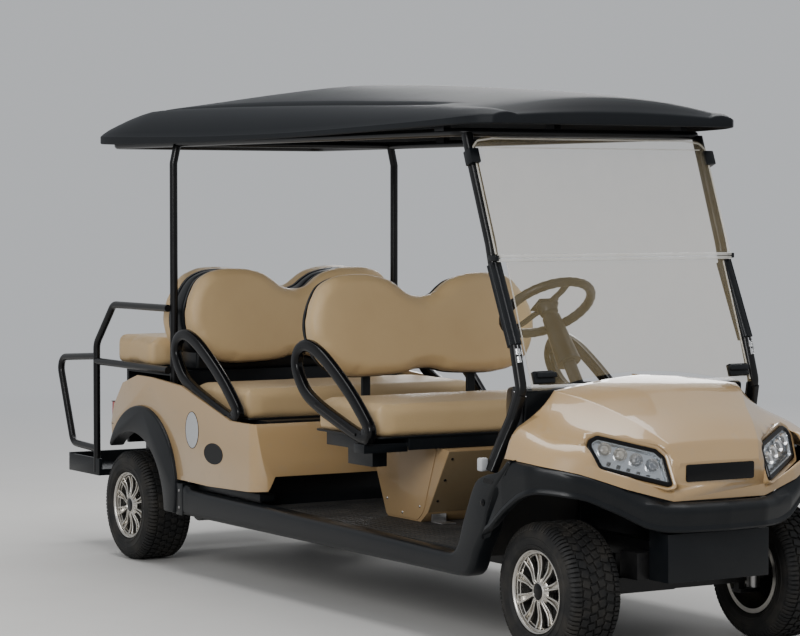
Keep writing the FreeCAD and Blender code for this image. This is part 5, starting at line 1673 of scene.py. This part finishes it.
@dataclass
class Rockers:
    """Rounded side beams that turn up into the front risers.

    The rows of sections give, along the beam: x and z of its lower edge, then of its upper edge.
    """

    middle: float = 0.562
    half: float = 0.040
    corner: float = 0.021
    parts: int = 3
    rows: tuple = (
        (0, 0.4896, 0.238, 0.4896, 0.362), (1, 0.556, 0.238, 0.560, 0.362), (2, 0.596, 0.238, 0.600, 0.345),
        (3, 1.200, 0.238, 1.200, 0.3356), (4, 1.900, 0.238, 1.900, 0.3244), (5, 2.440, 0.238, 2.420, 0.3134),
        (6, 2.560, 0.238, 2.495, 0.3125), (7, 2.622, 0.242, 2.536, 0.3170), (8, 2.656, 0.257, 2.563, 0.3340),
        (9, 2.677, 0.288, 2.581, 0.3590), (10, 2.697, 0.330, 2.593, 0.3900), (11, 2.724, 0.370, 2.606, 0.4240),
        (12, 2.752, 0.412, 2.626, 0.4650), (13, 2.772, 0.465, 2.646, 0.5060), (14, 2.791, 0.519, 2.663, 0.5370),
        (15, 2.816, 0.552, 2.694, 0.5730), (16, 2.850, 0.588, 2.750, 0.5930), (17, 2.880, 0.618, 2.817, 0.6050),
        (18, 2.904, 0.640, 2.877, 0.6500))

    def build(self, shop: Workshop) -> None:
        """Make both beams.

        Args:
            shop: The workshop that finishes the pieces.
        """
        for side in Side:
            rings = []
            for step in range(18 * self.parts + 1):
                low_x, low_z, high_x, high_z = through(self.rows, step / self.parts)
                low, high = (Vector((x, side.value * self.middle, z)) for x, z in ((low_x, low_z), (high_x, high_z)))
                rise, tall = (high - low).normalized(), (high - low).length / 2
                rings.append([(low + high) / 2 + rise * b + Vector((0, side.value * a, 0)) for a, b in
                              pillow(self.half, tall, min(self.corner, tall * 0.9))])
            shop.add(Form().skin(rings).soften(0.006, 3, 0.9), f"rocker_{side.tag}_finished", "black_plastic",
                     replaces=[f"rocker_{side.tag}"], smooth=0.7)


@dataclass
class SmallParts:
    """Screws, plates, plugs, decals and lamp bezels that dress the body."""

    half: float = 0.595
    side_plate: tuple = ((1.553, 0.3250), (1.772, 0.3250), (1.804, 0.3480), (1.818, 0.3700), (1.905, 0.5950),
                         (1.520, 0.6050), (1.452, 0.5500))
    side_screws: tuple = ((1.560, 0.2590, 0.385), (1.790, 0.2590, 0.375), (1.668, 0.2590, 0.342))
    ovals: tuple = (("oval_panel", 0.617, 0.584, 0.056, 0.072, "pale_grey"),
                    ("oval_panel_dark", 0.800, 0.504, 0.078, 0.040, "black_gloss"))
    cup_ring: tuple = ((0.0440, 0.002), (0.0465, 0.006), (0.0450, 0.009), (0.0385, 0.0075), (0.0360, 0.001),
                       (0.0440, 0.002))
    key: tuple = ((0.0, 0.012), (0.010, 0.012), (0.0125, 0.008), (0.0125, -0.004), (0.0, -0.004))

    def build(self, shop: Workshop) -> None:
        """Make the small parts of every region.

        Args:
            shop: The workshop that finishes the pieces.
        """
        self.pedestal(shop)
        self.rocker_details(shop)
        self.body_marks(shop)
        self.cabin(shop)
        self.ends(shop)

    def screws(self, spots: Iterable[Spot], radius: float, axis: Spot = ACROSS) -> Form:
        """Domed screw heads at the given places.

        Args:
            spots: The places of the heads.
            radius: A head's radius.
            axis: The way that they face.

        Returns:
            The form.
        """
        head = [(0, -0.001), (radius, -0.001), (radius * 0.95, radius * 0.25), (radius * 0.6, radius * 0.5),
                (0, radius * 0.6)]
        form = Form()
        for spot in spots:
            form.spun(head, spot, axis, 14)
        return form

    def pedestal(self, shop: Workshop) -> None:
        """Side plates with bright screws, a front plate darkened with painted shade and black screws on it, feet and
        catches.

        Args:
            shop: The workshop that finishes the pieces.
        """
        side = Form().prism(rounded([(x, 0.2562, z) for x, z in self.side_plate], 0.012, True, 4), (0, 0.0030, 0))
        shop.add(side.soften(0.0010).both_sides(), "pedestal_side_plates", "pedestal_paint")
        shop.add(self.screws(self.side_screws, 0.0055).both_sides(), "pedestal_side_screws", "steel_bare",
                 finish="chrome")
        start = Vector((1.838, 0, 0.355))
        lean = (Vector((1.985, 0, 0.593)) - start).normalized()
        out = Vector((lean.z, 0, -lean.x))
        corners = [start + lean * reach + Vector((0, y, 0)) for reach, y in
                   ((0.004, -0.2545), (0.276, -0.2545), (0.276, 0.2545), (0.004, 0.2545))]
        # The front plate's darker finish is painted shade: the front face is the same paint as the sides.
        shop.add(Form().prism(corners, out * 0.0025).soften(0.0010), "pedestal_front_plate", "pedestal_paint",
                 finish="pedestal_painted_shade")
        spots = [start + lean * reach + out * 0.0025 + Vector((0, y, 0)) for reach in (0.245, 0.150, 0.055)
                 for y in (-0.232, 0.232)]
        shop.add(self.screws(spots, 0.0055, out), "pedestal_front_screws", "steel_black")
        feet, catches = Form(), Form()
        for y in (-0.205, 0.205):
            feet.block((1.830, y - 0.030, 0.3185), (1.905, y + 0.030, 0.3225))
            feet.block((1.830, y - 0.030, 0.3185), (1.838, y + 0.030, 0.350))
        for y in (0.262, -0.262):
            catches.block((1.700, y - 0.010, 0.5965), (1.760, y + 0.010, 0.6060))
        shop.add(feet.soften(0.0015), "pedestal_foot_brackets", "steel_bare")
        shop.add(catches.soften(0.0020), "tray_catches", "steel_bare", finish="chrome")

    def rocker_details(self, shop: Workshop) -> None:
        """End cap with its fasteners, a plug and a glossy black plate painted as a slot's shade on each riser, and a
        pale pad at each strut foot.

        Args:
            shop: The workshop that finishes the pieces.
        """
        caps = Form().prism(rounded(rectangle((0.4875, 0.6005, 0.237), (0.547, 0.6005, 0.362)), 0.010, True),
                            (0, 0.0030, 0))
        caps.prism(rounded(rectangle((0.4875, 0.530, 0.3615), (0.547, 0.6025, 0.3615)), 0.004, True), (0, 0, 0.0025))
        # The riser slot is a thin glossy black plate: painted shade where a sunken slot would be.
        slots = Form().prism(rounded([(2.742, 0.6016, 0.5665), (2.800, 0.6016, 0.5665), (2.806, 0.6016, 0.5830),
                                      (2.748, 0.6016, 0.5830)], 0.006, True), (0, 0.0014, 0))
        for form, name, slot, finish in (
                (caps.soften(0.0012), "rocker_caps", "black_plastic", ""),
                (self.screws([(0.517, 0.6033, z) for z in (0.335, 0.268)], 0.0060), "rocker_bolts", "steel_bare", ""),
                (self.screws([(2.742, 0.6016, 0.500)], 0.0125), "riser_plugs", "black_plastic", "black_gloss"),
                (slots.soften(0.0006, 1), "riser_slot_shade", "black_plastic", "black_gloss"),
                (Form().block((2.694, 0.566, 0.6000), (2.722, 0.596, 0.6440)).soften(0.006, 3), "strut_pads", "alloy",
                 "pale_grey")):
            shop.add(form.both_sides(), name, slot, finish=finish)

    def body_marks(self, shop: Workshop) -> None:
        """Two blank ovals on each side of the rear body.

        Args:
            shop: The workshop that finishes the pieces.
        """
        for name, x, z, wide, high, finish in self.ovals:
            panel = Form().prism([(x + a, self.half - 0.0004, z + b) for a, b in oval(wide, high, 40)], (0, 0.0012, 0))
            shop.add(panel.soften(0.0004, 1).both_sides(), name, "black_plastic", finish=finish)
            rim = Form().tube([(x + a, self.half + 0.0006, z + b) for a, b in oval(wide, high, 48)],
                              oval(0.0010, 0.0014, 8), loop=True)
            shop.add(rim.both_sides(), f"{name}_rim", "steel_black", finish="black_gloss", smooth=0.7)

    def cabin(self, shop: Workshop) -> None:
        """Cup rings, a key switch and two toggles on the dash.

        Args:
            shop: The workshop that finishes the pieces.
        """
        rings, keys = Form(), Form()
        for y in (-0.235, -0.120, 0.120):
            rings.spun(self.cup_ring, (2.608, y, 0.8640), (-0.1, 0, 1), 36)
        for y in (0.130, 0.085, 0.060):
            keys.spun(self.key, (2.4765, y, 0.800), (-1, 0, 0.02), 20)
        shop.add(rings, "cup_rings", "black_plastic", smooth=0.7)
        shop.add(keys, "key_and_toggles", "steel_bare", finish="chrome")

    def ends(self, shop: Workshop) -> None:
        """Bezel round each tail lamp, ribs on the floor mat, and a black panel painted as the shade of the well behind
        the front axle.

        Args:
            shop: The workshop that finishes the pieces.
        """
        bezels, ribs, boxes = Form(), Form(), Form()
        for y0, y1, z0, z1 in ((0.5430, 0.5950, 0.6500, 0.6530), (0.5430, 0.5950, 0.5570, 0.5600),
                               (0.5430, 0.5455, 0.5570, 0.6530)):
            bezels.block((-0.1295, y0, z0), (-0.112, y1, z1))
        shop.add(bezels.both_sides(), "tail_bezels", "black_plastic")
        for y in (-0.495 + index * 0.0291 for index in range(35)):
            for start, end in ((1.140, 1.430), (1.960, 2.470)) if abs(y) < 0.275 else ((1.140, 2.470),):
                ribs.block((start, y - 0.0035, 0.3176), (end, y + 0.0035, 0.3196))
        shop.add(ribs, "floor_ribs", "floor_mat")
        # The well panel is a black sheet that paints the well's shade, so that the pale floor doesn't show through.
        panel = Form().block((2.735, -0.215, 0.255), (2.745, 0.215, 0.560)).soften(0.002)
        shop.add(panel, "front_well_shade_panel", "black_plastic")
        boxes.block((3.020, 0.188, 0.262), (3.118, 0.250, 0.352)).block((3.020, 0.150, 0.330), (3.118, 0.190, 0.352))
        shop.add(boxes.soften(0.004).both_sides(), "spring_bracket_boxes", "steel_black", finish="battery_case")


# Camera and studio


@dataclass
class Camera:
    """The photograph's viewpoint, solved from its lines: angles in degrees, lens and sensor in millimetres."""

    place: tuple = (10.172, -5.414, 1.491)
    azimuth: float = 58.8325
    down: float = 2.4869
    roll: float = 0.032
    lens: float = 121.785
    sensor: float = 36.0

    def build(self) -> None:
        """Make the camera and let the scene use it."""
        data = bpy.data.cameras.new("camera")
        data.sensor_width, data.lens, data.sensor_fit = self.sensor, self.lens, "HORIZONTAL"
        data.clip_start, data.clip_end = 0.1, 200.0
        item = bpy.data.objects.new("camera", data)
        bpy.context.scene.collection.objects.link(item)
        turn, dip = math.radians(self.azimuth), math.radians(self.down)
        ahead = Vector((-math.sin(turn) * math.cos(dip), math.cos(turn) * math.cos(dip), -math.sin(dip)))
        matrix = ahead.to_track_quat("-Z", "Y").to_matrix().to_4x4()
        matrix.translation = Vector(self.place) + Vector((AXLE_X, 0, 0))
        item.matrix_world = matrix @ Matrix.Rotation(math.radians(self.roll), 4, "Z")
        bpy.context.scene.camera = item


@dataclass
class Studio:
    """A pale floor, a pale sky and three large soft lamps.

    A lamp's row gives its name, where it hangs, what it faces, its side and its power in watts.
    """

    floor_size: float = 400.0
    sky: Colour = (0.86, 0.885, 0.92)
    strength: float = 0.62
    centre: float = 1.3
    fade: tuple[float, float] = (3.2, 11.0)
    lamps: tuple = (("overhead", (1.2, 0.3, 6.5), (1.2, 0.0, 0.5), 5.5, 430.0),
                    ("front_right", (7.5, -8.0, 4.6), (1.6, 0.0, 0.8), 4.0, 560.0),
                    ("rear_left", (-6.0, 6.0, 4.5), (0.8, 0.0, 0.9), 4.0, 240.0))

    def build(self) -> None:
        """Make the floor, the world and the lamps."""
        shell = bmesh.new()
        bmesh.ops.create_grid(shell, x_segments=1, y_segments=1, size=self.floor_size / 2)
        mesh = bpy.data.meshes.new("floor")
        shell.to_mesh(mesh)
        shell.free()
        floor = bpy.data.objects.new("floor", mesh)
        bpy.context.scene.collection.objects.link(floor)
        floor.data.materials.append(self.ground())
        world = bpy.data.worlds.new("sky")
        bpy.context.scene.world = world
        world.use_nodes = True
        background = world.node_tree.nodes["Background"]
        background.inputs[0].default_value = (*self.sky, 1.0)
        background.inputs[1].default_value = self.strength
        for name, place, target, size, power in self.lamps:
            data = bpy.data.lights.new(name, "AREA")
            data.size, data.energy = size, power
            item = bpy.data.objects.new(name, data)
            item.location = Vector(place) + Vector((AXLE_X, 0, 0))
            item.rotation_mode = "QUATERNION"
            item.rotation_quaternion = (Vector(target) - Vector(place)).to_track_quat("-Z", "Y")
            bpy.context.scene.collection.objects.link(item)

    def ground(self) -> bpy.types.Material:
        """A pale floor that turns into the sky away from the cart, so that no horizon shows.

        Returns:
            The material.
        """
        shader = Shader("floor_pale")
        pale = shader.mix(shader.noise(3.0, 4.0), (0.50, 0.49, 0.47), (0.54, 0.53, 0.51))
        shader.set(Base_Color=pale, Roughness=0.85, Specular_IOR_Level=0.2)
        axes = shader.node("ShaderNodeSeparateXYZ", i0=shader.place).socket.node.outputs
        x, y = (Wire(shader.tree, axes[name]) for name in "XY")
        far = ((x - AXLE_X - self.centre) ** 2 + y ** 2) ** 0.5
        near, end = self.fade
        share = ((far - near) / (end - near)).clamp()
        glow = shader.node("ShaderNodeEmission", {}, "Emission", Color=self.sky, Strength=self.strength)
        shader.show(shader.node("ShaderNodeMixShader", i0=share ** 0.8, i1=Wire(shader.tree, shader.base.outputs[0]),
                                i2=glow))
        return shader.material


def main() -> None:
    """Build the camera, the studio and every sub-assembly in order."""
    logging.basicConfig(level=logging.INFO, format="%(message)s")
    Camera().build()
    Studio().build()
    shop = Workshop()
    wheels = [Wheel(end, side, x, track * side.value)
              for end, x, track in (("front", 2.950, 0.440), ("rear", 0.0, 0.490)) for side in Side]
    for assembly in (*wheels, Copies(), Roof(), Cowl(), FrontBand(), Seats(), HipLoops(), Windshield(),
                     SteeringWheel(), Rockers(), SmallParts()):
        assembly.build(shop)


if __name__ == "__main__":
    main()
